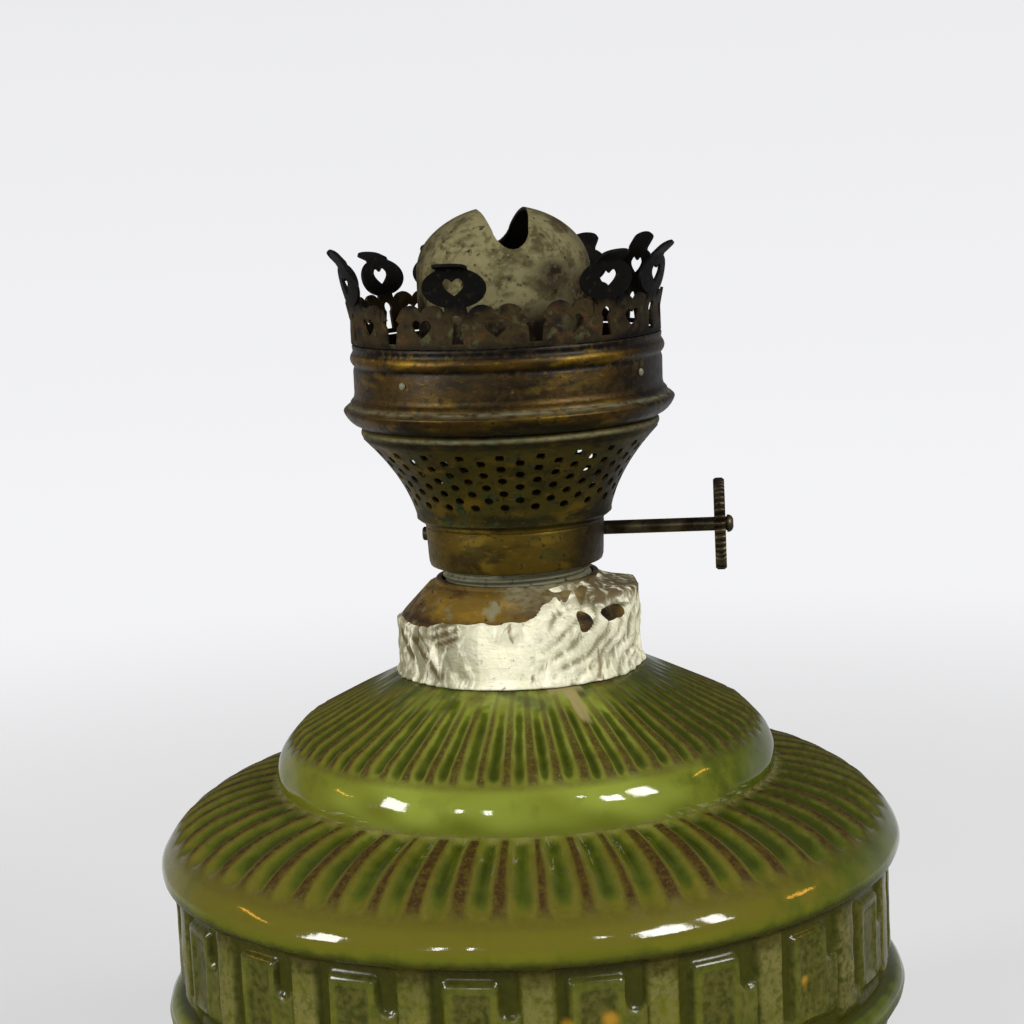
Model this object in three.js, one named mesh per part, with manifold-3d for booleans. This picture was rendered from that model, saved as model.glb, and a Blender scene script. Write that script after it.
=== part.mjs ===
// A table oil lamp: a hollow glazed ceramic font, a brass collar bedded on its neck in plaster, and a flat wick
// burner that screws into the collar. The burner has a drum, a perforated air basket, a wick tube with a
// sprocket winder, a lift-off gallery with a stamped coronet, and a slotted flame dome.
// Millimetres. The lamp stands on z = 0, its axis is the Z axis, its front is -Y and the winder knob is at +X.
// Azimuths are in degrees from the front, positive towards the knob.
import * as THREE from "three";
import { TessellateModifier } from "three/addons/modifiers/TessellateModifier.js";
import { mergeVertices } from "three/addons/utils/BufferGeometryUtils.js";
import Module from "manifold-3d";

// Clearances
const gap = 0.3; // between pieces that seat on or pass through each other
const wickClearance = 0.5; // between the wick's face and the tube's wall

// Font: the ceramic body
const footRadius = 58;
const footWidth = 7;
const footHeight = 6;
const footRecess = 3.5;
const bowlInset = 3.5;
const bowlFullness = 18;
const bowlLift = 14;
const bandBottom = 57;
const bandHeight = 24;
const bandRadius = 77;
const rimBulge = 3.2;
const rimHalfHeight = 3.4;
const tierRise = 15.8;
const tierFullness = 20;
const creaseRadius = 54;
const bulgeHeight = 12.3;
const bulgeInset = 6;
const coneRise = 10.9;
const shoulderLedge = 4.5;
const neckMouthWall = 1.6;
const neckHeight = 9.1;
const fontWall = 6.5;
const lowerFluteCount = 56; // round the lower tier and, mirrored, round the bowl
const upperFluteCount = 60;
const fluteDepthShare = 0.018; // of the radius where the flute lies

// Fret on the font's band: a repeat's raised blocks, as shares of its width and of the band's height, each with
// the share of the rise that it stands out
const fretUnits = 20;
const fretStart = -15.7; // the azimuth where a repeat starts
const fretGround = 0.8; // sunk below the band's own radius
const fretRise = 1.4;
const fretBlocks = [
  { part: "bar", from: 0.01, to: 0.285, low: 0.03, high: 0.96, share: 1 },
  { part: "foot", from: 0.27, to: 0.43, low: 0.03, high: 0.18, share: 0.8 },
  { part: "hook", from: 0.395, to: 0.845, low: 0.125, high: 0.9, share: 0.95 },
  { part: "tail", from: 0.81, to: 1.03, low: 0.125, high: 0.675, share: 0.75 },
];
const fretPanel = { from: 0.49, to: 0.76, low: 0.215, high: 0.81, share: 0.5 };

// Collar and its plaster
const collarLipWall = 1.1;
const collarSkirtStep = 7.9;
const collarHeight = 17.6;
const collarSeat = 2.4;
const collarSlope = 7;
const collarSkirt = 10.2;
const collarSheet = 0.8;
const threadLength = 9;
const plasterFill = 2.1;
const plasterOut = 1;
const plasterFoot = 0.3;
const plasterSmear = 5.2;
const plasterSmearCentre = 67; // its azimuth
const plasterSmearSpread = 38;

// Burner neck and drum
const neckWall = 1.2;
const tubeNeckRoom = 0.7;
const neckShow = 2.6;
const neckEngagement = 10;
const drumLedge = 3.9;
const drumTaper = 0.5;
const drumHeight = 10.1;
const drumCorner = 1.2;
const sheet = 0.8;

// Wick, wick tube and winder
const wickWidth = 25;
const wickThickness = 2.2;
const wickTop = 18.5;
const wickFloorClearance = 14;
const tubeEndRoom = 0.9;
const tubeWall = 0.5;
const tubeTop = 20.5;
const tubeBelowDrum = 6;
const spindleRadius = 1.5;
const spindleRise = 5.8;
const spindleOutLeft = 1.4;
const bushRadius = 2.5;
const wheelRadius = 3.6;
const wheelTeeth = 10;
const wheelToothHeight = 0.9;
const wheelThickness = 0.8;
const wheelPlaces = [-9, -3.4, 3.4, 9];
const coverHalfLength = 12;
const coverSheet = 0.6;
const knobPlace = 44;
const knobRadius = 10;
const knobThickness = 2.4;
const knobTeeth = 30;
const knobToothHeight = 0.45;
const spindleHeadRadius = 1.9;
const spindleHeadLength = 1.4;

// Air basket
const basketSheet = 0.6;
const basketFoot = 1.7;
const basketTopInset = 0.35;
const basketHeight = 20.4;
const basketHollow = 2.2;
const basketRimInset = 0.05;
const basketRimHeight = 2;
const spigotClear = 0.4;
const spigotHeight = 4.5;
const basketFlange = 1.8;
const holeRadius = 0.9;
const holeRows = 9;
const holesPerRow = 14;
const holeRowsFrom = 0.08;
const holeRowsTo = 0.76;

// Gallery band
const bandWallRadius = 32.9;
const lipInset = 0.9;
const bigBeadProud = 2.5;
const bigBeadHeight = 6.6;
const upperBeadProud = 1.15;
const upperBeadHeight = 4;
const bandWallHeight = 6.3;
const bandTopTurn = 0.6;
const bandSheet = 0.6;
const rivetAzimuths = [-36, 61, 144, -119];
const rivetRadius = 0.5;
const rivetHeadRadius = 0.8;
const rivetHeadHeight = 0.4;
const rivetDrop = 2.6;

// Gallery floor
const floorRim = 4.4;
const floorRise = 1.1;
const domeLedgeDrop = 0.6;
const domeLedgeWidth = 0.5;
const floorSpigotHeight = 3.9;
const airHoles = 16;
const airHoleRadius = 1.2;

// Coronet
const coronetCount = 13;
const coronetSheet = 0.6;
const fingerStart = -12.3;
const brokenFingers = [1, 4, 12];
const lobeRadius = 3.1;
const lobeOffset = 2.7;
const lobeCentreHeight = 5.8;
const shortHeartHeight = 4.1;
const tallHeartHeight = 12.7;
const heartWidth = 4.6;
const heartHeight = 3.8;
const keyholeRadius = 1.2;
const keyholeHeight = 5.7;
const keyholeBase = 1;
const keyholeBaseHalfWidth = 1.3;
const discHalfWidth = 6.8;
const discHalfHeight = 4.15;
const discHeight = 12.5;
const fingerNeckHalfWidth = 2.2;
const tabHalfWidth = 3.3;
const tabTop = 20.6;
const leanFrom = 5;
const leanAngle = 12;
const bendFrom = 16.6;
const bendAngle = 55;

// Flame dome
const domeRoom = 4.3;
const domeSheet = 0.6;
const domeSkirt = 17.8;
const domeRise = 13.7; // of its rounded top over its skirt
const domeSlotOverrun = 1.8;
const domeSlotHalfWidth = 5;
const domeSlotEndRadius = 3.2;
const domeTurn = 13;

// Facets
const coarse = 28;
const round = 32;
const fine = 40;

// Heights that follow
const bandTop = bandBottom + bandHeight;
const creaseZ = bandTop + rimHalfHeight + tierRise;
const bulgeTopZ = creaseZ + bulgeHeight;
const shoulderZ = bulgeTopZ + coneRise;
const neckTopZ = shoulderZ + neckHeight;
const collarTopZ = shoulderZ + collarSeat + collarHeight;
const collarShoulderZ = collarTopZ - collarSlope;
const collarBottomZ = collarShoulderZ - collarSkirt;
const drumBottomZ = collarTopZ + neckShow;
const drumTopZ = drumBottomZ + drumHeight;
const basketBottomZ = drumTopZ + gap;
const basketTopZ = basketBottomZ + basketHeight;
const galleryBottomZ = basketTopZ + gap;
const bandWallZ = galleryBottomZ + bigBeadHeight;
const grooveZ = bandWallZ + bandWallHeight;
const coronetZ = grooveZ + upperBeadHeight + bandTopTurn + gap;
const floorTopZ = grooveZ + floorRise;
const domeLedgeZ = floorTopZ - domeLedgeDrop;
const domeBottomZ = domeLedgeZ + gap;
const domeCentreZ = domeBottomZ + domeSkirt;
const spindleZ = drumBottomZ + spindleRise;
const fontFloorZ = footRecess + fontWall;

// Radii and half widths that follow
const tubeHalfWidth = wickWidth / 2 + tubeEndRoom + gap + tubeWall;
const burnerNeckBore = tubeHalfWidth + tubeNeckRoom;
const burnerNeckRadius = burnerNeckBore + neckWall;
const collarBore = burnerNeckRadius + gap;
const collarRadius = collarBore + collarLipWall + collarSkirtStep;
const neckRadius = collarRadius - collarSheet - plasterFill;
const neckBore = collarBore + neckMouthWall;
const shoulderRadius = neckRadius + shoulderLedge;
const drumBottomRadius = burnerNeckBore + drumLedge;
const drumTopRadius = drumBottomRadius + drumTaper;
const basketFlangeBore = drumTopRadius - basketFlange;
const basketBottomRadius = drumTopRadius + basketFoot;
const lipRadius = bandWallRadius - lipInset;
const spigotRadius = lipRadius - bandSheet - spigotClear;
const basketRimRadius = lipRadius - basketRimInset;
const basketTopRadius = basketRimRadius - basketTopInset;
const domeRadius = tubeHalfWidth + domeRoom;
const domeSlotHalfLength = tubeHalfWidth + domeSlotOverrun;
const bushInner = tubeHalfWidth;
const spindleLeft = drumTopRadius + spindleOutLeft;
const tubeHalfThickness = wickThickness / 2 + wickClearance + tubeWall;
const spindleY = wickThickness / 2 + gap + wheelRadius;
const bandBore = bandWallRadius - bandSheet;
const floorSpigotRadius = domeRadius - domeSheet - gap;
const airHoleCircle = (domeRadius + bandBore) / 2;

const wasm = await Module();
wasm.setup();

const rad = THREE.MathUtils.degToRad;

// ---------------------------------------------------------------- making and joining solids

function solidOf(geometry) {
  const plain = new THREE.BufferGeometry();
  plain.setAttribute("position", geometry.getAttribute("position"));
  plain.setIndex(geometry.index);
  const merged = mergeVertices(plain, 1e-4);
  const vertProperties = merged.attributes.position.array;
  const triVerts = new Uint32Array(merged.index.array);
  return new wasm.Manifold(new wasm.Mesh({ numProp: 3, vertProperties, triVerts }));
}

function geometryOf(solid) {
  const mesh = solid.getMesh();
  const geometry = new THREE.BufferGeometry();
  geometry.setAttribute("position", new THREE.BufferAttribute(mesh.vertProperties, 3));
  geometry.setIndex(new THREE.BufferAttribute(mesh.triVerts, 1));
  return geometry;
}

// A geometry less all the tools. The facets that a cut leaves side by side in one plane are merged.
function cut(geometry, tools) {
  const all = tools.map(solidOf).reduce((body, tool) => body.add(tool));
  return geometryOf(solidOf(geometry).subtract(all).asOriginal().simplify(1e-3));
}

// A geometry with others joined on.
function joined(geometry, extras) {
  const all = extras.map(solidOf).reduce((body, extra) => body.add(extra), solidOf(geometry));
  return geometryOf(all.asOriginal().simplify(1e-3));
}

// A body of revolution about Z. The profile runs anticlockwise in (radius, height) and closes on itself or the axis.
function turned(profile, steps) {
  const points = profile.map(([r, z]) => new THREE.Vector2(r, z));
  if (points[0].x > 0) points.push(points[0].clone());
  return new THREE.LatheGeometry(points, steps).rotateX(Math.PI / 2);
}

function extruded(shape, depth, curveSegments = 8) {
  return new THREE.ExtrudeGeometry(shape, { depth, bevelEnabled: false, curveSegments });
}

// A point of a ring about Z, at an azimuth in radians measured from the front.
function ringPoint(radius, z, azimuth) {
  return [radius * Math.sin(azimuth), -radius * Math.cos(azimuth), z];
}

// A closed skin through rings of points. Neighbouring rings may differ in count, and a ring of one point is a pole.
function stitched(rings) {
  const positions = rings.flat(2);
  const index = [];
  let start = 0;
  for (let i = 0; i + 1 < rings.length; i++) {
    const [a, b] = [rings[i].length, rings[i + 1].length];
    const [stepsA, stepsB] = [a > 1 ? a : 0, b > 1 ? b : 0];
    const next = start + a;
    let [ia, ib] = [0, 0];
    while (ia < stepsA || ib < stepsB) {
      const here = start + (ia % a);
      const above = next + (ib % b);
      const advanceLower = ib === stepsB || (ia < stepsA && (ia + 1) * stepsB <= (ib + 1) * stepsA);
      if (advanceLower) {
        ia += 1;
        index.push(here, start + (ia % a), above);
      } else {
        ib += 1;
        index.push(here, next + (ib % b), above);
      }
    }
    start = next;
  }
  const geometry = new THREE.BufferGeometry();
  geometry.setAttribute("position", new THREE.Float32BufferAttribute(positions, 3));
  geometry.setIndex(index);
  return geometry;
}

// A rod or wheel about the spindle's axis: its own Z becomes +X.
function alongSpindle(geometry, x = 0) {
  return geometry.rotateY(Math.PI / 2).translate(x, spindleY, spindleZ);
}

// ---------------------------------------------------------------- font

// The curve of the font's bowl from the foot ring up to the rim under the band.
function bowlCurve() {
  const low = new THREE.Vector2(footRadius - bowlInset, footHeight + bowlInset / 2);
  const high = new THREE.Vector2(bandRadius + 0.5, bandBottom - 2.5 * rimHalfHeight);
  const full = new THREE.Vector2(low.x + bowlFullness, low.y + bowlLift);
  return new THREE.QuadraticBezierCurve(low, full, high);
}

// The outside of the font from the foot ring up to the neck's mouth.
function fontOutside() {
  const bowl = bowlCurve();
  const path = new THREE.Path();
  path.moveTo(footRadius, 0);
  path.lineTo(footRadius, footHeight);
  path.lineTo(bowl.v0.x, bowl.v0.y);
  path.quadraticCurveTo(bowl.v1.x, bowl.v1.y, bowl.v2.x, bowl.v2.y);
  path.quadraticCurveTo(bandRadius + 2 * rimBulge, bandBottom - rimHalfHeight, bandRadius, bandBottom);
  path.lineTo(bandRadius - fretGround, bandBottom);
  path.lineTo(bandRadius - fretGround, bandTop);
  path.lineTo(bandRadius + 0.75 * rimBulge, bandTop + 0.4 * rimHalfHeight);
  path.quadraticCurveTo(
    bandRadius + rimBulge + 0.4, bandTop + rimHalfHeight,
    bandRadius + 0.8 * rimBulge, bandTop + 1.65 * rimHalfHeight,
  );
  path.quadraticCurveTo(creaseRadius + tierFullness, creaseZ - 2.7, creaseRadius, creaseZ);
  path.quadraticCurveTo(creaseRadius + 1.6, bulgeTopZ - bulgeHeight / 2, creaseRadius - bulgeInset, bulgeTopZ);
  path.lineTo(shoulderRadius, shoulderZ - 0.3);
  path.lineTo(neckRadius, shoulderZ);
  path.lineTo(neckRadius, neckTopZ);
  path.lineTo(neckBore, neckTopZ);
  return path.getPoints(4);
}

// The inside of the font from the neck's mouth down to the middle of its floor.
function fontInside() {
  const bowl = bowlCurve();
  const innerBowl = [0.8, 0.5, 0.25].map((t) => {
    const along = bowl.getTangent(t);
    return bowl.getPoint(t).add(new THREE.Vector2(-along.y, along.x).multiplyScalar(fontWall));
  });
  return [
    new THREE.Vector2(neckBore, shoulderZ - fontWall),
    new THREE.Vector2(creaseRadius - 1.8 * fontWall, bulgeTopZ - fontWall),
    new THREE.Vector2(creaseRadius - fontWall, creaseZ - fontWall),
    new THREE.Vector2(bandRadius - fontWall, bandTop),
    new THREE.Vector2(bandRadius - fontWall, bandBottom),
    ...innerBowl,
    new THREE.Vector2(footRadius - 2 * fontWall, fontFloorZ),
  ];
}

// How many flutes pass through a height of the outside: the bowl and both tiers of the shoulder are fluted.
function flutesAt(z) {
  const bowl = bowlCurve();
  const onBowl = z > bowl.v0.y + 1 && z < bowl.v2.y - 1;
  const onLowerTier = z > bandTop + 1.65 * rimHalfHeight + 1 && z < creaseZ - 1;
  const onUpperTier = z > bulgeTopZ - 1 && z < shoulderZ - 1;
  if (onBowl || onLowerTier) return lowerFluteCount;
  return onUpperTier ? upperFluteCount : 0;
}

// A block round the band between two radii.
function bandBlock(unit, { from, to, low, high }, inner, outer) {
  const place = (share) => rad(fretStart - 90) + ((unit + share) * 2 * Math.PI) / fretUnits;
  const sector = new THREE.Shape();
  sector.absarc(0, 0, outer, place(from), place(to), false);
  sector.absarc(0, 0, inner, place(to), place(from), true);
  return extruded(sector, (high - low) * bandHeight, 2).translate(0, 0, bandBottom + low * bandHeight);
}

// The font with the fret raised on its band, each hook with a sunk panel.
function frettedFont() {
  const ground = bandRadius - fretGround;
  const units = Array.from({ length: fretUnits }, (_, unit) => unit);
  const blocks = units.flatMap((unit) =>
    fretBlocks.map((block) => bandBlock(unit, block, ground - fontWall / 2, ground + block.share * fretRise)),
  );
  const panels = units.map((unit) =>
    bandBlock(unit, fretPanel, ground + fretPanel.share * fretRise, ground + 2 * fretRise),
  );
  return cut(joined(fontBody(), blocks), panels);
}

function fontBody() {
  const outside = fontOutside();
  const cone = outside.findIndex((p) => Math.abs(p.y - shoulderZ + 0.3) < 1e-6);
  outside.splice(cone, 0, outside[cone - 1].clone().lerp(outside[cone], 0.88));
  const footInner = footRadius - footWidth;
  const rings = [[[0, 0, footRecess]], plainRing(footInner - 2, footRecess), plainRing(footInner, 0)];
  outside.forEach((point, i) => {
    const count = flutesAt(point.y);
    if (count === 0) {
      rings.push(plainRing(point.x, point.y));
      return;
    }
    const along = outside[i + 1].clone().sub(outside[i - 1]).normalize();
    const ring = [];
    for (let k = 0; k < 2 * count; k++) {
      const sunk = k % 2 ? fluteDepthShare * point.x : 0;
      const azimuth = (k * Math.PI) / count;
      ring.push(ringPoint(point.x - sunk * along.y, point.y + sunk * along.x, azimuth));
    }
    rings.push(ring);
  });
  for (const point of fontInside()) rings.push(plainRing(point.x, point.y, coarse));
  rings.push([[0, 0, fontFloorZ]]);
  return stitched(rings);
}

function plainRing(radius, z, count = fine) {
  return Array.from({ length: count }, (_, k) => ringPoint(radius, z, (k * 2 * Math.PI) / count));
}

// ---------------------------------------------------------------- collar and plaster

function collar() {
  const lip = collarBore + collarLipWall;
  const inner = collarRadius - collarSheet;
  return turned(
    [
      [collarBore, collarTopZ - threadLength],
      [lip - 0.1, collarTopZ - threadLength],
      [lip - 0.1, collarTopZ - 2.2],
      [lip + 0.7, collarTopZ - 2.4],
      [inner, collarShoulderZ - 1.2],
      [inner, collarBottomZ],
      [collarRadius, collarBottomZ],
      [collarRadius, collarShoulderZ - 0.8],
      [collarRadius - 0.6, collarShoulderZ],
      [lip + 0.4, collarTopZ - 0.9],
      [lip, collarTopZ],
      [collarBore, collarTopZ],
    ],
    round,
  );
}

// The plaster fills the skirt round the ceramic neck, stands out round it, and is smeared up over the collar's
// shoulder on one side.
function plasterBed() {
  const steps = round;
  const inner = collarRadius - collarSheet - gap;
  const outer = collarRadius + gap;
  const slope = collarSlope / (collarRadius - collarBore - collarLipWall);
  const sections = [];
  for (let k = 0; k < steps; k++) {
    const azimuth = (k * 2 * Math.PI) / steps;
    const smeared = Math.exp(-(((THREE.MathUtils.radToDeg(azimuth) - plasterSmearCentre) / plasterSmearSpread) ** 2));
    const reach = 0.4 + plasterSmear * smeared;
    const proud = plasterOut * (0.85 + 0.25 * Math.sin(3 * azimuth + 1));
    sections.push(
      [
        [neckRadius + gap, shoulderZ + plasterFoot],
        [outer + proud, shoulderZ + plasterFoot - 0.2],
        [outer + 0.8 * proud, collarShoulderZ - 1],
        [outer + 0.4 - reach, collarShoulderZ + 0.9 + reach * slope],
        [outer - reach - 0.4, collarShoulderZ + 0.25 + reach * slope],
        [outer, collarShoulderZ - 0.5],
        [outer, collarBottomZ - gap],
        [inner, collarBottomZ - gap],
        [inner, neckTopZ + 0.9],
        [neckBore + 0.4, neckTopZ + 0.9],
        [neckBore + 0.4, neckTopZ + gap],
        [neckRadius + gap, neckTopZ + gap],
      ].map(([r, z]) => ringPoint(r, z, azimuth)),
    );
  }
  return stitchedSections(sections);
}

// A closed skin through a ring of closed sections, each with the same number of points.
function stitchedSections(sections) {
  const count = sections[0].length;
  const index = [];
  sections.forEach((_, k) => {
    const here = k * count;
    const next = ((k + 1) % sections.length) * count;
    for (let j = 0; j < count; j++) {
      const up = (j + 1) % count;
      index.push(here + j, next + j, here + up);
      index.push(next + j, next + up, here + up);
    }
  });
  const geometry = new THREE.BufferGeometry();
  geometry.setAttribute("position", new THREE.Float32BufferAttribute(sections.flat(2), 3));
  geometry.setIndex(index);
  return geometry;
}

// ---------------------------------------------------------------- burner body

function burnerNeck() {
  const bottom = collarTopZ - neckEngagement;
  const top = drumBottomZ - gap;
  return turned(
    [[burnerNeckBore, bottom], [burnerNeckRadius, bottom], [burnerNeckRadius, top], [burnerNeckBore, top]],
    coarse,
  );
}

function burnerDrum() {
  const bore = burnerNeckBore + 0.5;
  const wall = turned(
    [
      [bore, drumBottomZ],
      [drumBottomRadius - drumCorner, drumBottomZ],
      [drumBottomRadius - 0.2, drumBottomZ + 0.4 * drumCorner],
      [drumBottomRadius, drumBottomZ + drumCorner],
      [drumTopRadius, drumTopZ],
      [drumTopRadius - sheet, drumTopZ],
      [drumBottomRadius - sheet, drumBottomZ + drumCorner + 0.2],
      [drumBottomRadius - drumCorner - 0.2, drumBottomZ + sheet],
      [bore, drumBottomZ + sheet],
    ],
    round,
  );
  const bushHole = new THREE.CylinderGeometry(bushRadius + gap, bushRadius + gap, 3 * drumTopRadius, 12);
  return cut(wall, [alongSpindle(bushHole.rotateX(Math.PI / 2))]);
}

function wickSlot(halfWidth, halfThickness) {
  const slot = new THREE.Path();
  const end = halfWidth - halfThickness;
  slot.moveTo(-end, -halfThickness);
  slot.lineTo(end, -halfThickness);
  slot.absarc(end, 0, halfThickness, -Math.PI / 2, Math.PI / 2);
  slot.lineTo(-end, halfThickness);
  slot.absarc(-end, 0, halfThickness, Math.PI / 2, 1.5 * Math.PI);
  return slot;
}

function tubePlate() {
  const plate = new THREE.Shape();
  plate.absarc(0, 0, drumBottomRadius - sheet - 2 * gap, 0, 2 * Math.PI);
  plate.holes.push(wickSlot(tubeHalfWidth + gap, tubeHalfThickness + gap));
  return extruded(plate, sheet, 4).translate(0, 0, drumBottomZ + sheet + gap);
}

function wickTube() {
  const bottom = drumBottomZ - tubeBelowDrum;
  const outline = new THREE.Shape(wickSlot(tubeHalfWidth, tubeHalfThickness).getPoints(4));
  outline.holes.push(wickSlot(tubeHalfWidth - tubeWall, tubeHalfThickness - tubeWall));
  const tube = extruded(outline, grooveZ + tubeTop - bottom, 4).translate(0, 0, bottom);
  const reach = spindleY - tubeHalfThickness;
  const windowHeight = 2 * (Math.sqrt(wheelRadius ** 2 - reach ** 2) + gap);
  const windows = wheelPlaces.map((x) =>
    new THREE.BoxGeometry(wheelThickness + 2 * gap, 2 * tubeWall + gap, windowHeight).translate(
      x, tubeHalfThickness - tubeWall / 2, spindleZ,
    ),
  );
  return cut(tube, windows);
}

function wheelCover() {
  const back = spindleY + wheelRadius + 2 * gap;
  const top = spindleZ + wheelRadius + 2 * gap;
  const bottom = drumBottomZ + 2 * sheet + 2 * gap;
  const section = new THREE.Shape();
  section.moveTo(tubeHalfThickness + gap, top);
  section.lineTo(back, top);
  section.lineTo(back, bottom);
  section.lineTo(back + coverSheet, bottom);
  section.lineTo(back + coverSheet, top + coverSheet);
  section.lineTo(tubeHalfThickness + gap, top + coverSheet);
  const sheetMetal = extruded(section, 2 * coverHalfLength).translate(0, 0, -coverHalfLength);
  return sheetMetal.applyMatrix4(new THREE.Matrix4().set(0, 0, 1, 0, 1, 0, 0, 0, 0, 1, 0, 0, 0, 0, 0, 1));
}

function bush(side) {
  const bore = spindleRadius + gap;
  const outerEnd = drumTopRadius - 1.4;
  const ring = turned([[bore, bushInner], [bushRadius, bushInner], [bushRadius, outerEnd], [bore, outerEnd]], 12);
  return alongSpindle(side > 0 ? ring : ring.rotateX(Math.PI));
}

// ---------------------------------------------------------------- air basket

function basketFlare() {
  const lip = new THREE.Vector2(basketBottomRadius, basketBottomZ + 1.2);
  const rim = new THREE.Vector2(basketTopRadius, basketTopZ - basketRimHeight - 0.2);
  const waist = new THREE.Vector2(basketBottomRadius + basketHollow, (lip.y + rim.y) / 2);
  return new THREE.QuadraticBezierCurve(lip, waist, rim);
}

function basket() {
  const flare = basketFlare();
  const rowStep = (holeRowsTo - holeRowsFrom) / (holeRows - 1);
  const ringPlaces = [0];
  for (let row = 0; row < holeRows; row += 2) ringPlaces.push(holeRowsFrom + (row - 0.5) * rowStep);
  ringPlaces.push(holeRowsTo + 0.5 * rowStep, 1);
  const offset = (t, depth) => {
    const [place, along] = [flare.getPointAt(t), flare.getTangentAt(t)];
    return [place.x - depth * along.y, place.y + depth * along.x];
  };
  const outer = ringPlaces.map((t) => offset(t, 0));
  const inner = ringPlaces.map((t) => offset(t, basketSheet)).reverse();
  const spigotBore = spigotRadius - basketSheet;
  const spigotTop = basketTopZ + spigotHeight;
  const wall = turned(
    [
      [basketFlangeBore, basketBottomZ],
      [basketBottomRadius, basketBottomZ],
      ...outer,
      [basketRimRadius, basketTopZ - basketRimHeight + 0.2],
      [basketRimRadius, basketTopZ - 0.2],
      [basketRimRadius - 0.3, basketTopZ],
      [spigotRadius, basketTopZ],
      [spigotRadius, spigotTop],
      [spigotBore, spigotTop],
      [spigotBore, basketTopZ - 0.5 * basketRimHeight],
      ...inner,
      [basketFlangeBore, basketBottomZ + basketSheet],
    ],
    2 * holesPerRow,
  );
  const holes = [];
  for (let row = 0; row < holeRows; row++) {
    const t = holeRowsFrom + row * rowStep;
    const place = flare.getPointAt(t);
    const along = flare.getTangentAt(t);
    const tilt = Math.atan2(along.x, along.y);
    for (let k = 0; k < holesPerRow; k++) {
      const azimuth = ((2 * k + (row % 2) + 0.5) * Math.PI) / holesPerRow;
      const drill = new THREE.CylinderGeometry(holeRadius, holeRadius, 5 * basketSheet, 4);
      drill.rotateY(Math.PI / 4).rotateX(tilt).translate(0, -place.x, place.y).rotateZ(azimuth);
      holes.push(drill);
    }
  }
  return cut(wall, holes);
}

// ---------------------------------------------------------------- winder and wick

function spindle() {
  const end = knobPlace + knobThickness / 2 + gap;
  return alongSpindle(
    turned(
      [
        [0, -spindleLeft],
        [spindleRadius, -spindleLeft],
        [spindleRadius, end],
        [spindleHeadRadius, end],
        [0.7 * spindleHeadRadius, end + spindleHeadLength],
        [0, end + spindleHeadLength],
      ],
      12,
    ),
  );
}

// A disc with pointed teeth and a bore.
function toothed(teeth, tip, toothHeight, bore, thickness) {
  const points = [];
  for (let k = 0; k < 2 * teeth; k++) {
    const radius = k % 2 ? tip - toothHeight : tip;
    const angle = (k * Math.PI) / teeth;
    points.push(new THREE.Vector2(radius * Math.cos(angle), radius * Math.sin(angle)));
  }
  const shape = new THREE.Shape(points);
  const hole = new THREE.Path();
  hole.absarc(0, 0, bore, 0, 2 * Math.PI);
  shape.holes.push(hole);
  return extruded(shape, thickness, 4).translate(0, 0, -thickness / 2);
}

function feedWheel(x) {
  return alongSpindle(
    toothed(wheelTeeth, wheelRadius, wheelToothHeight, spindleRadius + gap, wheelThickness),
    x,
  );
}

function winderKnob() {
  return alongSpindle(
    toothed(knobTeeth, knobRadius, knobToothHeight, spindleRadius + gap, knobThickness),
    knobPlace,
  );
}

function wick() {
  const top = grooveZ + wickTop;
  const bottom = fontFloorZ + wickFloorClearance;
  return new THREE.BoxGeometry(wickWidth, wickThickness, top - bottom).translate(0, 0, (top + bottom) / 2);
}

// ---------------------------------------------------------------- gallery

// Points of a bead that stands proud between two points of a profile, without those two.
function bead([fromRadius, fromZ], [toRadius, toZ], proud, steps) {
  return Array.from({ length: steps - 1 }, (_, i) => {
    const t = (i + 1) / steps;
    return [fromRadius + (toRadius - fromRadius) * t + proud * Math.sin(Math.PI * t), fromZ + (toZ - fromZ) * t];
  });
}

function galleryBand() {
  const top = grooveZ + upperBeadHeight + bandTopTurn;
  const innerLip = [lipRadius - bandSheet, galleryBottomZ];
  const lip = [lipRadius, galleryBottomZ];
  const wallFoot = [bandWallRadius, bandWallZ];
  const groove = [bandWallRadius, grooveZ];
  const upperBeadTop = [bandWallRadius, grooveZ + upperBeadHeight];
  const innerWallFoot = [bandBore, bandWallZ - bandSheet];
  const wall = turned(
    [
      innerLip,
      lip,
      ...bead(lip, wallFoot, bigBeadProud + lipInset / 2, 6),
      wallFoot,
      groove,
      ...bead(groove, upperBeadTop, upperBeadProud, 4),
      upperBeadTop,
      [bandWallRadius, top],
      [bandBore, top],
      innerWallFoot,
      ...bead(innerWallFoot, [innerLip[0], innerLip[1] + bandSheet], bigBeadProud - bandSheet, 4),
      [innerLip[0], innerLip[1] + bandSheet],
    ],
    round,
  );
  return cut(wall, rivetAzimuths.map((azimuth) => rivetBar(azimuth, rivetRadius + gap, 5 * bandSheet)));
}

// A bar through the band's wall where a rivet goes.
function rivetBar(azimuth, radius, length) {
  const bar = new THREE.CylinderGeometry(radius, radius, length, 8);
  return bar.translate(0, -bandWallRadius, 0).rotateZ(rad(azimuth)).translate(0, 0, grooveZ - rivetDrop);
}

function bandRivet(azimuth) {
  const seat = bandWallRadius + 0.05;
  const shank = bandSheet + gap + 0.5;
  const rivet = turned(
    [
      [0, seat - shank],
      [rivetRadius, seat - shank],
      [rivetRadius, seat],
      [rivetHeadRadius, seat],
      [0.6 * rivetHeadRadius, seat + rivetHeadHeight],
      [0, seat + rivetHeadHeight],
    ],
    8,
  );
  return rivet.rotateX(Math.PI / 2).rotateZ(rad(azimuth)).translate(0, 0, grooveZ - rivetDrop);
}

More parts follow.
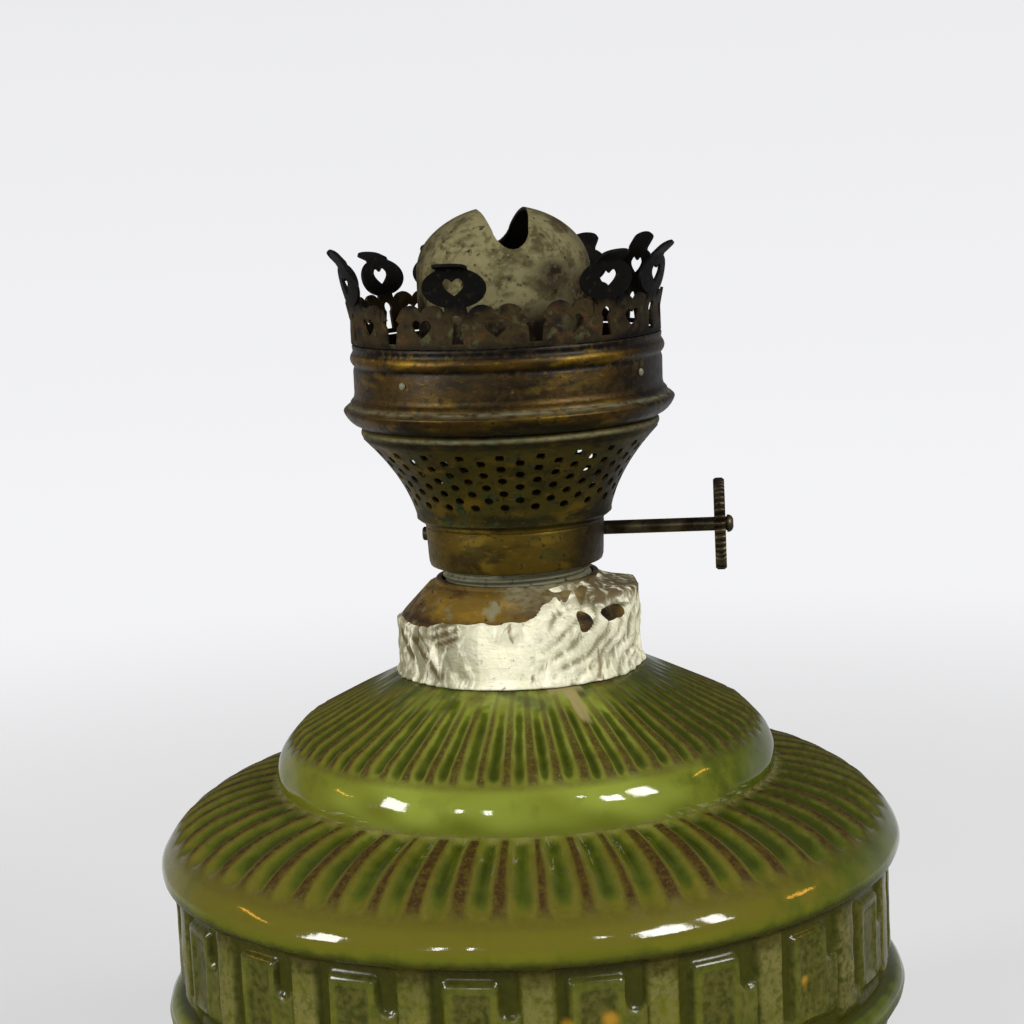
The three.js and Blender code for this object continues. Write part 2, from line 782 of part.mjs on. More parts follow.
// The pierced floor that carries the chimney and, on a sunk ledge round its spigot, the dome. Its rim is riveted
// inside the band.
function galleryFloor() {
  const outer = bandBore - gap;
  const ledgeRadius = domeRadius + domeLedgeWidth;
  const plate = turned(
    [
      [floorSpigotRadius - sheet, domeLedgeZ - sheet],
      [ledgeRadius + sheet, domeLedgeZ - sheet],
      [ledgeRadius + sheet, floorTopZ - sheet],
      [outer - bandSheet, floorTopZ - sheet],
      [outer - bandSheet, floorTopZ - floorRim],
      [outer, floorTopZ - floorRim],
      [outer, floorTopZ],
      [ledgeRadius, floorTopZ],
      [ledgeRadius, domeLedgeZ],
      [floorSpigotRadius, domeLedgeZ],
      [floorSpigotRadius, floorTopZ + floorSpigotHeight],
      [floorSpigotRadius - sheet, floorTopZ + floorSpigotHeight],
    ],
    round,
  );
  const holes = rivetAzimuths.map((azimuth) => rivetBar(azimuth, rivetRadius + gap, 8 * bandSheet));
  for (let k = 0; k < airHoles; k++) {
    const hole = new THREE.CylinderGeometry(airHoleRadius, airHoleRadius, 3 * sheet, 5).rotateX(Math.PI / 2);
    hole.translate(0, -airHoleCircle, floorTopZ - sheet / 2).rotateZ(((k + 0.5) * 2 * Math.PI) / airHoles);
    holes.push(hole);
  }
  return cut(plate, holes);
}

// ---------------------------------------------------------------- coronet

function heart(x, y) {
  const halfWidth = heartWidth / 2;
  const half = heartHeight / 2;
  const path = new THREE.Path();
  path.moveTo(x, y - half);
  path.quadraticCurveTo(x + 1.1 * halfWidth, y - 0.1 * half, x + halfWidth, y + 0.45 * half);
  path.quadraticCurveTo(x + 0.6 * halfWidth, y + 1.4 * half, x, y + 0.55 * half);
  path.quadraticCurveTo(x - 0.6 * halfWidth, y + 1.4 * half, x - halfWidth, y + 0.45 * half);
  path.quadraticCurveTo(x - 1.1 * halfWidth, y - 0.1 * half, x, y - half);
  return path;
}

function keyhole() {
  const path = new THREE.Path();
  const mouth = 0.6 * keyholeRadius;
  path.moveTo(-keyholeBaseHalfWidth, keyholeBase);
  path.lineTo(keyholeBaseHalfWidth, keyholeBase);
  path.lineTo(mouth, keyholeHeight - 0.8 * keyholeRadius);
  path.absarc(0, keyholeHeight, keyholeRadius, rad(-53), rad(233));
  path.lineTo(-keyholeBaseHalfWidth, keyholeBase);
  return path;
}

// One pitch of the coronet laid flat: a keyhole at x = 0, with its finger or the torn gap where that has broken
// off, and the lobed tooth with a heart to its right. The pitch's ends lie on the teeth, clear of every hole.
function coronetPitch(pitch, broken) {
  const tooth = pitch / 2;
  const side = tooth + lobeOffset + 0.7 * lobeRadius;
  const lobeArc = (centre, from, to) => shape.absarc(centre, lobeCentreHeight, lobeRadius, from, to);
  const sideAngle = Math.acos(0.7);
  const valleyAngle = Math.acos(lobeOffset / lobeRadius);
  const notchAngle = rad(155);
  const notchX = tooth - lobeOffset + lobeRadius * Math.cos(notchAngle);
  const shape = new THREE.Shape();
  shape.moveTo(side - pitch, 0);
  shape.lineTo(side, 0);
  lobeArc(tooth + lobeOffset, sideAngle, Math.PI - valleyAngle);
  lobeArc(tooth - lobeOffset, valleyAngle, notchAngle);
  if (broken) {
    const tornHeight = keyholeHeight - keyholeRadius;
    shape.lineTo(notchX - 0.9, keyholeHeight);
    shape.lineTo(0.7 * keyholeRadius, tornHeight);
    shape.lineTo(keyholeBaseHalfWidth, keyholeBase);
    shape.lineTo(-keyholeBaseHalfWidth, keyholeBase);
    shape.lineTo(-0.7 * keyholeRadius, tornHeight);
    shape.lineTo(0.9 - notchX, keyholeHeight);
  } else {
    const neckAngle = Math.acos(fingerNeckHalfWidth / discHalfWidth);
    const tabAngle = Math.acos(tabHalfWidth / discHalfWidth);
    shape.absellipse(0, discHeight, discHalfWidth, discHalfHeight, -neckAngle, tabAngle);
    shape.lineTo(tabHalfWidth, tabTop - 1.6);
    shape.quadraticCurveTo(tabHalfWidth, tabTop, 0, tabTop);
    shape.quadraticCurveTo(-tabHalfWidth, tabTop, -tabHalfWidth, tabTop - 1.6);
    shape.absellipse(0, discHeight, discHalfWidth, discHalfHeight, Math.PI - tabAngle, Math.PI + neckAngle);
    shape.holes.push(heart(0, tallHeartHeight), keyhole());
  }
  lobeArc(lobeOffset - tooth, Math.PI - notchAngle, sideAngle);
  shape.holes.push(heart(tooth, shortHeartHeight));
  return { shape, from: side - pitch, to: side };
}

// Where a height on the flat coronet comes to once it is leant out and its tabs are bent.
function coronetSection(height, depth) {
  const upright = Math.min(height, leanFrom);
  const leaning = Math.max(0, Math.min(height, bendFrom) - leanFrom);
  const bent = Math.max(0, height - bendFrom);
  const [lean, bend] = [rad(leanAngle), rad(bendAngle)];
  const turn = height > bendFrom ? bend : height > leanFrom ? lean : 0;
  const radius = leaning * Math.sin(lean) + bent * Math.sin(bend) + depth * Math.cos(turn);
  const rise = upright + leaning * Math.cos(lean) + bent * Math.cos(bend) - depth * Math.sin(turn);
  return [bandWallRadius - coronetSheet + 0.15 + radius, coronetZ + rise];
}

function coronet() {
  const pitch = (2 * Math.PI * bandWallRadius) / coronetCount;
  const finer = new TessellateModifier(0.45 * pitch, 8);
  const positions = [];
  for (let k = 0; k < coronetCount; k++) {
    const { shape, from, to } = coronetPitch(pitch, brokenFingers.includes(k));
    const flat = finer.modify(extruded(shape, coronetSheet, 2));
    const place = flat.getAttribute("position");
    for (let i = 0; i < place.count; i += 3) {
      const corners = [0, 1, 2].map((j) => new THREE.Vector3().fromBufferAttribute(place, i + j));
      const onEnd = [from, to].some((end) => corners.every((corner) => Math.abs(corner.x - end) < 1e-4));
      if (onEnd) continue;
      for (const corner of corners) {
        const azimuth = rad(fingerStart) + ((corner.x / pitch + k) * 2 * Math.PI) / coronetCount;
        positions.push(...ringPoint(...coronetSection(corner.y, corner.z), azimuth));
      }
    }
  }
  const geometry = new THREE.BufferGeometry();
  geometry.setAttribute("position", new THREE.Float32BufferAttribute(positions, 3));
  return mergeVertices(geometry, 1e-3);
}

// ---------------------------------------------------------------- flame dome

function domeCap() {
  const steps = 6;
  const arc = (radius, rise) =>
    Array.from({ length: steps }, (_, k) => {
      const angle = (k * Math.PI) / 2 / steps;
      return [radius * Math.cos(angle), domeCentreZ + rise * Math.sin(angle)];
    });
  const inner = domeRadius - domeSheet;
  const innerRise = domeRise - domeSheet;
  const shell = turned(
    [
      [domeRadius, domeBottomZ],
      ...arc(domeRadius, domeRise),
      [0, domeCentreZ + domeRise],
    ],
    round,
  );
  const below = domeBottomZ - 1;
  const hollow = turned(
    [[0, below], [inner, below], ...arc(inner, innerRise), [0, domeCentreZ + innerRise]],
    round,
  );
  const slot = new THREE.Shape();
  const end = domeSlotHalfLength - domeSlotEndRadius;
  slot.moveTo(domeSlotEndRadius, -end);
  slot.quadraticCurveTo(2 * domeSlotHalfWidth - domeSlotEndRadius, 0, domeSlotEndRadius, end);
  slot.absarc(0, end, domeSlotEndRadius, 0, Math.PI);
  slot.quadraticCurveTo(domeSlotEndRadius - 2 * domeSlotHalfWidth, 0, -domeSlotEndRadius, -end);
  slot.absarc(0, -end, domeSlotEndRadius, Math.PI, 2 * Math.PI);
  const punch = extruded(slot, 2 * domeRadius, 5).translate(0, 0, domeCentreZ).rotateZ(rad(domeTurn));
  return cut(shell, [hollow, punch]);
}

// ---------------------------------------------------------------- assembly

const finishes = {
  glaze: { color: 0x6e7828, roughness: 0.15, metalness: 0 },
  plaster: { color: 0xe6dfc6, roughness: 0.95, metalness: 0 },
  darkBrass: { color: 0x4a3a1c, roughness: 0.5, metalness: 0.9 },
  drumBrass: { color: 0x6f5a1f, roughness: 0.45, metalness: 0.9 },
  greyBrass: { color: 0x7b7d68, roughness: 0.7, metalness: 0.6 },
  soot: { color: 0x76705a, roughness: 0.8, metalness: 0.3 },
  steel: { color: 0x3a352c, roughness: 0.5, metalness: 0.8 },
  cotton: { color: 0xcfc4a4, roughness: 1, metalness: 0 },
};

const lamp = new THREE.Group();

function add(name, geometry, finish) {
  const mesh = new THREE.Mesh(geometry, new THREE.MeshStandardMaterial(finishes[finish]));
  mesh.name = name;
  lamp.add(mesh);
}

add("font_body", frettedFont(), "glaze");
add("collar", collar(), "drumBrass");
add("plaster_bed", plasterBed(), "plaster");
add("burner_neck", burnerNeck(), "greyBrass");
add("burner_drum", burnerDrum(), "drumBrass");
add("tube_plate", tubePlate(), "drumBrass");
add("wick_tube", wickTube(), "drumBrass");
add("wheel_cover", wheelCover(), "drumBrass");
add("spindle_bush_right", bush(1), "drumBrass");
add("spindle_bush_left", bush(-1), "drumBrass");
add("air_basket", basket(), "drumBrass");
add("spindle", spindle(), "steel");
wheelPlaces.forEach((x, i) => add(`feed_wheel_${i + 1}`, feedWheel(x), "steel"));
add("winder_knob", winderKnob(), "steel");
add("wick", wick(), "cotton");
add("gallery_band", galleryBand(), "darkBrass");
rivetAzimuths.forEach((azimuth, i) => add(`band_rivet_${i + 1}`, bandRivet(azimuth), "greyBrass"));
add("gallery_floor", galleryFloor(), "darkBrass");
add("coronet", coronet(), "darkBrass");
add("dome_cap", domeCap(), "soot");

export default lamp;
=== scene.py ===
"""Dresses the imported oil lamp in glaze, plaster, brass, steel and cotton, with a stage and a camera."""

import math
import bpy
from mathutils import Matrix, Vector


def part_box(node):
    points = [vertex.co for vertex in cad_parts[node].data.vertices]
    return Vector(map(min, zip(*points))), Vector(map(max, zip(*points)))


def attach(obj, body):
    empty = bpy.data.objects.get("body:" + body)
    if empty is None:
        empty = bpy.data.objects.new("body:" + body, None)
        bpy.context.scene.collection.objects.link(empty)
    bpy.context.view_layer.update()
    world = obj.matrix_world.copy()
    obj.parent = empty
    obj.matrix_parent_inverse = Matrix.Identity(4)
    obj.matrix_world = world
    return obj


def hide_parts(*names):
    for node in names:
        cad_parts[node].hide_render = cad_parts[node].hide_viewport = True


bl_info = {
    "name": "Oil Lamp",
    "version": (1, 0, 0),
    "blender": (4, 5, 0),
    "location": "View3D > Sidebar > Oil Lamp",
    "description": "Models the visible surfaces of a ceramic oil lamp over its packed solids",
    "category": "Object",
}

import bpy
import numpy as np
from mathutils import Matrix, Vector

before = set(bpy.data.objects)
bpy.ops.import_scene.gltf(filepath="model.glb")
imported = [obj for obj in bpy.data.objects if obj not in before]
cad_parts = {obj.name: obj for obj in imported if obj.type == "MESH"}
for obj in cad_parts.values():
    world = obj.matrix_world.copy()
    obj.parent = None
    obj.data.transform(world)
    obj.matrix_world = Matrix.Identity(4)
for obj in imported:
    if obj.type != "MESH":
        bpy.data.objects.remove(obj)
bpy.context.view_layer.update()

# Sizes are in millimetres and angles in radians, unless a name or a comment says otherwise. A place on a
# turned piece is its radius, its azimuth from the front towards the knob, and its height.
MM = 0.001
TURN = math.tau
SHEET = 0.6  # thickness of the brass sheet
VIEW = math.radians(4.9)  # the camera's azimuth, edge-on to the winder knob


def span(node):
    """A turned node's radius, bottom and top in millimetres."""
    low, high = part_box(node)
    return high.x / MM, low.z / MM, high.z / MM


FONT_RADIUS, FOOT, NECK_TOP = span("font_body")
COLLAR_RADIUS, COLLAR_BOTTOM, COLLAR_TOP = span("collar")
THREAD_RADIUS, THREAD_BOTTOM, THREAD_TOP = span("burner_neck")
DRUM_RADIUS, DRUM_BOTTOM, DRUM_TOP = span("burner_drum")
BASKET_RADIUS, BASKET_BOTTOM, BASKET_TOP = span("air_basket")
BEAD_RADIUS, BAND_BOTTOM, BAND_TOP = span("gallery_band")
FLOOR_RADIUS, FLOOR_BOTTOM, FLOOR_TOP = span("gallery_floor")
CORONET_BOTTOM = span("coronet")[1]
DOME_RADIUS, DOME_BOTTOM = span("dome_cap")[:2]
WICK_HALF, WICK_BOTTOM, WICK_TOP = span("wick")
KNOB_LOW, KNOB_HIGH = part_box("winder_knob")  # metres
KNOB_RADIUS = (KNOB_HIGH.y - KNOB_LOW.y) / 2 / MM
SPINDLE_Y = (KNOB_LOW.y + KNOB_HIGH.y) / 2 / MM
SPINDLE_Z = (KNOB_LOW.z + KNOB_HIGH.z) / 2 / MM


def linear(colour):
    """An sRGB hex colour as linear red, green and blue."""
    parts = [int(colour[i : i + 2], 16) / 255 for i in (0, 2, 4)]
    return [c / 12.92 if c <= 0.04045 else ((c + 0.055) / 1.055) ** 2.4 for c in parts]


# ---------------------------------------------------------------- sizes and colours


def length(name, description, size):
    """A size that a user may change, with its default in millimetres."""
    return bpy.props.FloatProperty(
        name=name, description=description, default=size * MM, min=0, precision=5, subtype="DISTANCE",
        unit="LENGTH",
    )


def count_of(name, description, default):
    """A count that a user may change."""
    return bpy.props.IntProperty(name=name, description=description, default=default, min=1)


def colour(name, description, default):
    """A colour that a user may change, with its default as hex."""
    return bpy.props.FloatVectorProperty(
        name=name, description=description, default=linear(default), min=0, max=1, size=3, subtype="COLOR"
    )


class LampSizes(bpy.types.PropertyGroup):
    """Sizes of the lamp's ornament."""

    lower_flutes: count_of("Lower flutes", "Flutes round the lower tier", 56)
    upper_flutes: count_of("Upper flutes", "Flutes round the upper tier", 60)
    fret_units: count_of("Fret units", "Repeats of the fret round the band", 20)
    lower_depth: length("Lower flute depth", "How deep the lower tier's flutes are pressed", 1.3)
    upper_depth: length("Upper flute depth", "How deep the upper tier's flutes are pressed", 1.0)
    fret_height: length("Fret height", "How far the fret's bars stand up from its ground", 1.4)
    thread_pitch: length("Thread pitch", "Rise of the burner's screw thread in a turn", 1.816)
    thread_depth: length("Thread depth", "Depth of the burner's rolled thread", 0.75)
    air_hole: length("Air hole", "Width of the basket's air holes", 1.95)
    wick_weave: length("Wick rib", "Spacing of the wick's ribs", 1.1)


class LampColours(bpy.types.PropertyGroup):
    """Base colours of the lamp's finishes."""

    olive: colour("Olive glaze", "Glaze where it lies thin", "656718")
    # The green glaze also colours the painted shade on the glaze, and the kiln brown colours the painted
    # shade under the rim.
    green: colour("Green glaze", "Glaze where it has pooled", "475012")
    deposit: colour("Kiln brown", "Brown bloom on the ribs", "3a270f")
    plaster: colour("Plaster", "Set plaster", "f2efd0")
    golden: colour("Golden brass", "Tarnished brass where it is handled", "5a480b")
    brown: colour("Brown brass", "Heat-browned brass", "5c430b")
    grey: colour("Grey brass", "Oxidised brass", "75735a")
    soot: colour("Sooted brass", "Heat-dulled sheet", "7e7754")
    steel: colour("Oxidised steel", "Browned steel", "352c1d")
    cotton: colour("Cotton", "Unbleached wick cotton", "b5a883")
    backdrop: colour("Backdrop", "Floor and background", "f1f2f4")


# ---------------------------------------------------------------- modelling by hand


def deselect():
    """Leaves edit mode and selects nothing."""
    if bpy.context.mode != "OBJECT":
        bpy.ops.object.mode_set(mode="OBJECT")
    bpy.ops.object.select_all(action="DESELECT")


def take(piece):
    """Selects one piece alone."""
    deselect()
    piece.select_set(True)
    bpy.context.view_layer.objects.active = piece


def added(name):
    """The piece that was added last, named."""
    piece = bpy.context.object
    piece.name = piece.data.name = name
    return piece


def edit():
    """Enters edit mode with the whole mesh selected."""
    bpy.ops.object.mode_set(mode="EDIT")
    bpy.ops.mesh.select_all(action="SELECT")


def drawn(name, points):
    """A new mesh drawn point by point as a line of (radius, height) in the XZ plane, left in edit mode."""
    deselect()
    bpy.ops.mesh.primitive_plane_add(size=MM)
    piece = added(name)
    bpy.ops.object.mode_set(mode="EDIT")
    bpy.ops.mesh.merge(type="CENTER")
    bpy.ops.transform.translate(value=(points[0][0] * MM, 0, points[0][1] * MM))
    for (r0, z0), (r1, z1) in zip(points, points[1:]):
        step = ((r1 - r0) * MM, 0, (z1 - z0) * MM)
        bpy.ops.mesh.extrude_region_move(TRANSFORM_OT_translate={"value": step})
    return piece


def tidied(threshold=0.002):
    """Merges the edited mesh's doubles, turns its faces outwards and leaves edit mode."""
    bpy.ops.mesh.select_all(action="SELECT")
    bpy.ops.mesh.remove_doubles(threshold=threshold * MM)
    bpy.ops.mesh.normals_make_consistent(inside=False)
    bpy.ops.object.mode_set(mode="OBJECT")


def turned(name, points, steps):
    """A piece spun about the lamp's axis from an outline of (radius, height)."""
    piece = drawn(name, points)
    bpy.ops.mesh.select_all(action="SELECT")
    bpy.ops.mesh.spin(steps=steps, angle=TURN, center=(0, 0, 0), axis=(0, 0, 1))
    tidied()
    return piece


def modify(piece, kind, **settings):
    """Puts a modifier on a piece and applies it."""
    modifier = piece.modifiers.new(kind.title(), kind)
    for name, value in settings.items():
        setattr(modifier, name, value)
    take(piece)
    bpy.ops.object.modifier_apply(modifier=modifier.name)


def soften(piece, width, segments=2, degrees=35):
    """Rounds a piece's sharp edges."""
    modify(
        piece, "BEVEL", width=width * MM, segments=segments, limit_method="ANGLE",
        angle_limit=math.radians(degrees), harden_normals=False,
    )


def cut(piece, punch):
    """Cuts a piece with a punch, which is used up."""
    modify(piece, "BOOLEAN", object=punch, operation="DIFFERENCE", solver="EXACT")
    bpy.data.objects.remove(punch)


def joined(pieces):
    """Joins pieces into the first of them."""
    deselect()
    for piece in pieces:
        piece.select_set(True)
    bpy.context.view_layer.objects.active = pieces[0]
    bpy.ops.object.join()
    return pieces[0]


def places(piece):
    """A piece's vertices in millimetres."""
    flat = np.empty(3 * len(piece.data.vertices), np.float32)
    piece.data.vertices.foreach_get("co", flat)
    return flat.reshape(-1, 3).astype(float) / MM


def place(piece, where):
    """Moves a piece's vertices to places in millimetres."""
    piece.data.vertices.foreach_set("co", (where * MM).astype(np.float32).ravel())
    piece.data.update()


def polar(where):
    """Radius, azimuth from the front towards the knob, and height of points."""
    x, y, z = where.T
    return np.hypot(x, y), np.arctan2(x, -y), z


def ringed(radius, azimuth, height):
    """Points from their radius, azimuth and height."""
    return np.stack([radius * np.sin(azimuth), -radius * np.cos(azimuth), height + 0 * radius], 1)


def straight(start, end, count):
    """Points of a straight line, without its end."""
    return [tuple(a + (b - a) * i / count for a, b in zip(start, end)) for i in range(count)]


def bend(start, through, end, count):
    """Points of a curve pulled towards a point, without its end."""
    points = []
    for i in range(count):
        t = i / count
        parts = zip(start, through, end)
        points.append(tuple((1 - t) ** 2 * a + 2 * t * (1 - t) * b + t * t * c for a, b, c in parts))
    return points


def bulged(start, end, proud, count):
    """Points of an arc from start to end that stands proud of their line, on its right, without its end."""
    run, rise = end[0] - start[0], end[1] - start[1]
    size = math.hypot(run, rise)
    points = []
    for i in range(count):
        t = i / count
        out = proud * math.sin(math.pi * t) ** 0.8
        points.append((start[0] + run * t + out * rise / size, start[1] + rise * t - out * run / size))
    return points


def arc(x, y, radius, start, end, count, tall=1.0):
    """Points of an arc between two angles in degrees, with both ends."""
    angles = [math.radians(start + (end - start) * i / count) for i in range(count + 1)]
    return [(x + radius * math.cos(a), y + tall * radius * math.sin(a)) for a in angles]


def distances(path):
    """How far along a path each of its points lies."""
    return np.concatenate([[0], np.cumsum(np.hypot(*np.diff(path, axis=0).T))])


def eased(value, low, high):
    """Eases from 0 at low to 1 at high."""
    t = np.clip((value - low) / (high - low), 0, 1)
    return t * t * (3 - 2 * t)


def near(value, middle, reach):
    """1 at a middle value, falling to a third at its reach and to nothing at twice that."""
    return np.exp(-(((value - middle) / reach) ** 2))


def knobward(azimuth, low, high):
    """Eases from 0 to 1 between two azimuths from the camera's, towards the knob, and back to 0 behind it."""
    return eased(azimuth - VIEW, low, high) * (1 - eased(azimuth, 2.2, 3))


def ripple(azimuth, height, seed, waves=14, finest=9, tallest=0.6):
    """Gentle unevenness from -1 to 1 round a turned surface, the same at every run."""
    chance = np.random.default_rng(seed)
    total = 0
    for _ in range(waves):
        round_axis = chance.integers(1, finest + 1)
        rise = chance.uniform(-tallest, tallest)
        total = total + np.cos(round_axis * azimuth + rise * height + chance.uniform(0, TURN))
    return total / math.sqrt(waves) / 1.6


def mark(piece, **marks):
    """Stores numbers at each vertex for the materials, by the name of the mark."""
    for name, values in marks.items():
        attribute = piece.data.attributes.new(name, "FLOAT", "POINT")
        attribute.data.foreach_set("value", np.asarray(values, np.float32))


def finish(piece, body, slot, material, *nodes, degrees=40):
    """Gives a piece its finish and smoothing, and puts it on its body in place of its solids."""
    take(piece)
    bpy.ops.object.shade_smooth_by_angle(angle=math.radians(degrees))
    piece.data.materials.clear()
    piece.data.materials.append(material)
    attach(piece, body)
    if nodes:
        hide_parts(*nodes)


# ---------------------------------------------------------------- materials


def add_node(tree, kind, inputs=(), stops=(), **settings):
    """Adds a node with its settings, and sets or links its inputs, by name or number."""
    node = tree.nodes.new(kind)
    for name, value in settings.items():
        setattr(node, name, value)
    for key, value in dict(inputs).items():
        if isinstance(value, bpy.types.NodeSocket):
            tree.links.new(value, node.inputs[key])
        else:
            node.inputs[key].default_value = value
    for i, (where, tint) in enumerate(stops):
        elements = node.color_ramp.elements
        stop = elements[i] if i < 2 else elements.new(where)
        stop.position = where
        stop.color = shade(tint)
    return node


def new_material(name, *marks):
    """A material with an empty node tree, and the marks it reads from its piece."""
    material = bpy.data.materials.new(name)
    material.use_nodes = True
    tree = material.node_tree
    tree.nodes.clear()
    read = {}
    for each in marks:
        read[each] = add_node(tree, "ShaderNodeAttribute", attribute_name=each).outputs["Fac"]
    return material, tree, read


def shade(tint):
    """A colour with its alpha, from hex or from red, green and blue."""
    return [*(linear(tint) if isinstance(tint, str) else tint), 1]


def object_space(tree, stretch=(1, 1, 1)):
    """Object coordinates, with a pattern drawn out along an axis where its stretch is above 1."""
    where = add_node(tree, "ShaderNodeTexCoord").outputs["Object"]
    scale = [1 / s for s in stretch]
    return add_node(tree, "ShaderNodeMapping", {"Vector": where, "Scale": scale}).outputs[0]


def clouds(tree, *rows):
    """Clouded patterns, each from its coordinates, its clouds' size, its detail and how far it is stirred."""
    made = []
    for where, size, detail, stir in rows:
        inputs = {"Vector": where, "Scale": 1 / (size * MM), "Detail": detail, "Roughness": 0.55}
        made.append(add_node(tree, "ShaderNodeTexNoise", {**inputs, "Distortion": stir}).outputs["Fac"])
    return made


def cover(tree, pattern, low, high, within=None):
    """How far a coat covers: from 0 where a pattern is low to 1 where it is high, and only within a mark."""
    inputs = {"Value": pattern, "From Min": low, "From Max": high, "To Min": 0, "To Max": 1}
    share = add_node(tree, "ShaderNodeMapRange", inputs, interpolation_type="SMOOTHSTEP").outputs["Result"]
    if within is None:
        return share
    return add_node(tree, "ShaderNodeMath", {0: within, 1: share}, operation="MULTIPLY").outputs[0]


def coated(tree, under, *coats):
    """A colour under coats of others, each given by how far it covers and its own colour."""
    tone = under if isinstance(under, bpy.types.NodeSocket) else shade(under)
    for share, coat in coats:
        coat = coat if isinstance(coat, bpy.types.NodeSocket) else shade(coat)
        inputs = {0: share, 6: tone, 7: coat}
        tone = add_node(tree, "ShaderNodeMix", inputs, data_type="RGBA", clamp_factor=True).outputs[2]
    return tone


def highest(tree, *values):
    """The highest of several values."""
    top = values[0]
    for value in values[1:]:
        top = add_node(tree, "ShaderNodeMath", {0: top, 1: value}, operation="MAXIMUM").outputs[0]
    return top


def finish_surface(tree, inputs, heights=()):
    """The surface shader and its bumps, each a (height, depth in millimetres) pair."""
    normal = None
    for height, depth in heights:
        given = {"Height": height, "Distance": depth * MM, "Strength": 1.0}
        if normal is not None:
            given["Normal"] = normal
        normal = add_node(tree, "ShaderNodeBump", given).outputs["Normal"]
    if normal is not None:
        inputs = {**inputs, "Normal": normal}
    shader = add_node(tree, "ShaderNodeBsdfPrincipled", inputs)
    add_node(tree, "ShaderNodeOutputMaterial", {"Surface": shader.outputs[0]})


def glaze_material(colours):
    """Lead-glazed earthenware, dipped and fired: a deep wet gloss, greener where the glaze lies in pools,
    darker green in painted shade, paler green in painted light, and dull where kiln bloom, dust or plaster
    lies on it."""
    material, tree, marks = new_material(
        "olive_lead_glaze", "pool", "rib", "edge", "dust", "amber", "bare", "rim", "drip", "fresh"
    )
    where = object_space(tree)
    # The grain is coarser than real kiln grit, so that it shows.
    broad, swell, patch, fine, grain = clouds(
        tree, (where, 24, 3, 0), (where, 9, 2, 0), (where, 5, 4, 0), (where, 1.4, 5, 0), (where, 0.5, 4, 0)
    )
    # The last coat here is painted light: a paler, brighter green where the glaze faces the camera.
    wet = coated(
        tree, colours.olive, (cover(tree, broad, 0.38, 0.62), "5a6014"), (marks["rim"], "605b1a"),
        (marks["fresh"], "828d34"),
    )
    # Glaze lying in pools and the painted shade both turn it a darker green.
    inputs = {0: cover(tree, patch, 0.3, 0.75), 1: 0.5, 2: marks["pool"]}
    pooled = add_node(tree, "ShaderNodeMath", inputs, operation="MULTIPLY_ADD").outputs[0]
    wet = coated(
        tree, wet, (cover(tree, pooled, 0.3, 0.95), colours.green),
        (cover(tree, pooled, 0.85, 1.4), "363d0a"), (cover(tree, fine, 0.3, 0.7, marks["edge"]), "6c662a"),
    )
    bloom = coated(tree, colours.deposit, (cover(tree, fine, 0.4, 0.65), "4a3c10"))
    browned = cover(tree, grain, 0.12, 0.5, marks["rib"])
    dusted = cover(tree, fine, 0.3, 0.6, marks["dust"])
    tone = coated(
        tree, wet, (browned, bloom), (dusted, "7b7143"), (marks["amber"], "a5791a"),
        (marks["bare"], "b58f66"), (marks["drip"], "8f8454"),
    )
    dull = highest(tree, browned, dusted, marks["bare"], marks["drip"], marks["edge"])
    rough, level = (
        add_node(tree, "ShaderNodeMapRange", {"Value": dull, "To Min": wet_end, "To Max": dry_end}).outputs[0]
        for wet_end, dry_end in ((0.07, 0.6), (0.45, 0.12))
    )
    finish_surface(
        tree, {"Base Color": tone, "Roughness": rough, "IOR": 1.5, "Specular IOR Level": level},
        [(swell, 0.1), (fine, 0.015)],
    )
    return material


def plaster_material(colours):
    """Plaster of Paris, trowelled on wet: chalky, chipped, and streaked where a tool dragged verdigris in."""
    material, tree, marks = new_material("set_plaster", "thin", "grey")
    where, drag, sweep = (object_space(tree, stretch) for stretch in ((1, 1, 1), (1, 1, 2.4), (3.5, 3.5, 1)))
    broad, streak, stroke, stain, grit = clouds(
        tree, (where, 5, 5, 0), (drag, 2.6, 5, 1.0), (sweep, 1.1, 4, 0.8), (drag, 3.4, 4, 0.8),
        (where, 0.45, 4, 0),
    )
    # The grey mark gives grey-green streaks, and also painted shadow between the strokes and flakes.
    chalk = coated(
        tree, colours.plaster, (cover(tree, broad, 0.4, 0.65), "f8f5dc"),
        (cover(tree, streak, 0.32, 0.58, marks["grey"]), "8a886c"),
        (cover(tree, stroke, 0.6, 0.72), "b3ad8c"), (cover(tree, stain, 0.6, 0.7), "8a7d60"),
        (cover(tree, streak, 0.28, 0.55, marks["thin"]), "5f5236"),
    )
    finish_surface(
        tree, {"Base Color": chalk, "Roughness": 0.9, "Specular IOR Level": 0.3},
        [(broad, 0.9), (streak, 0.45), (stroke, 0.25), (grit, 0.1)],
    )
    return material


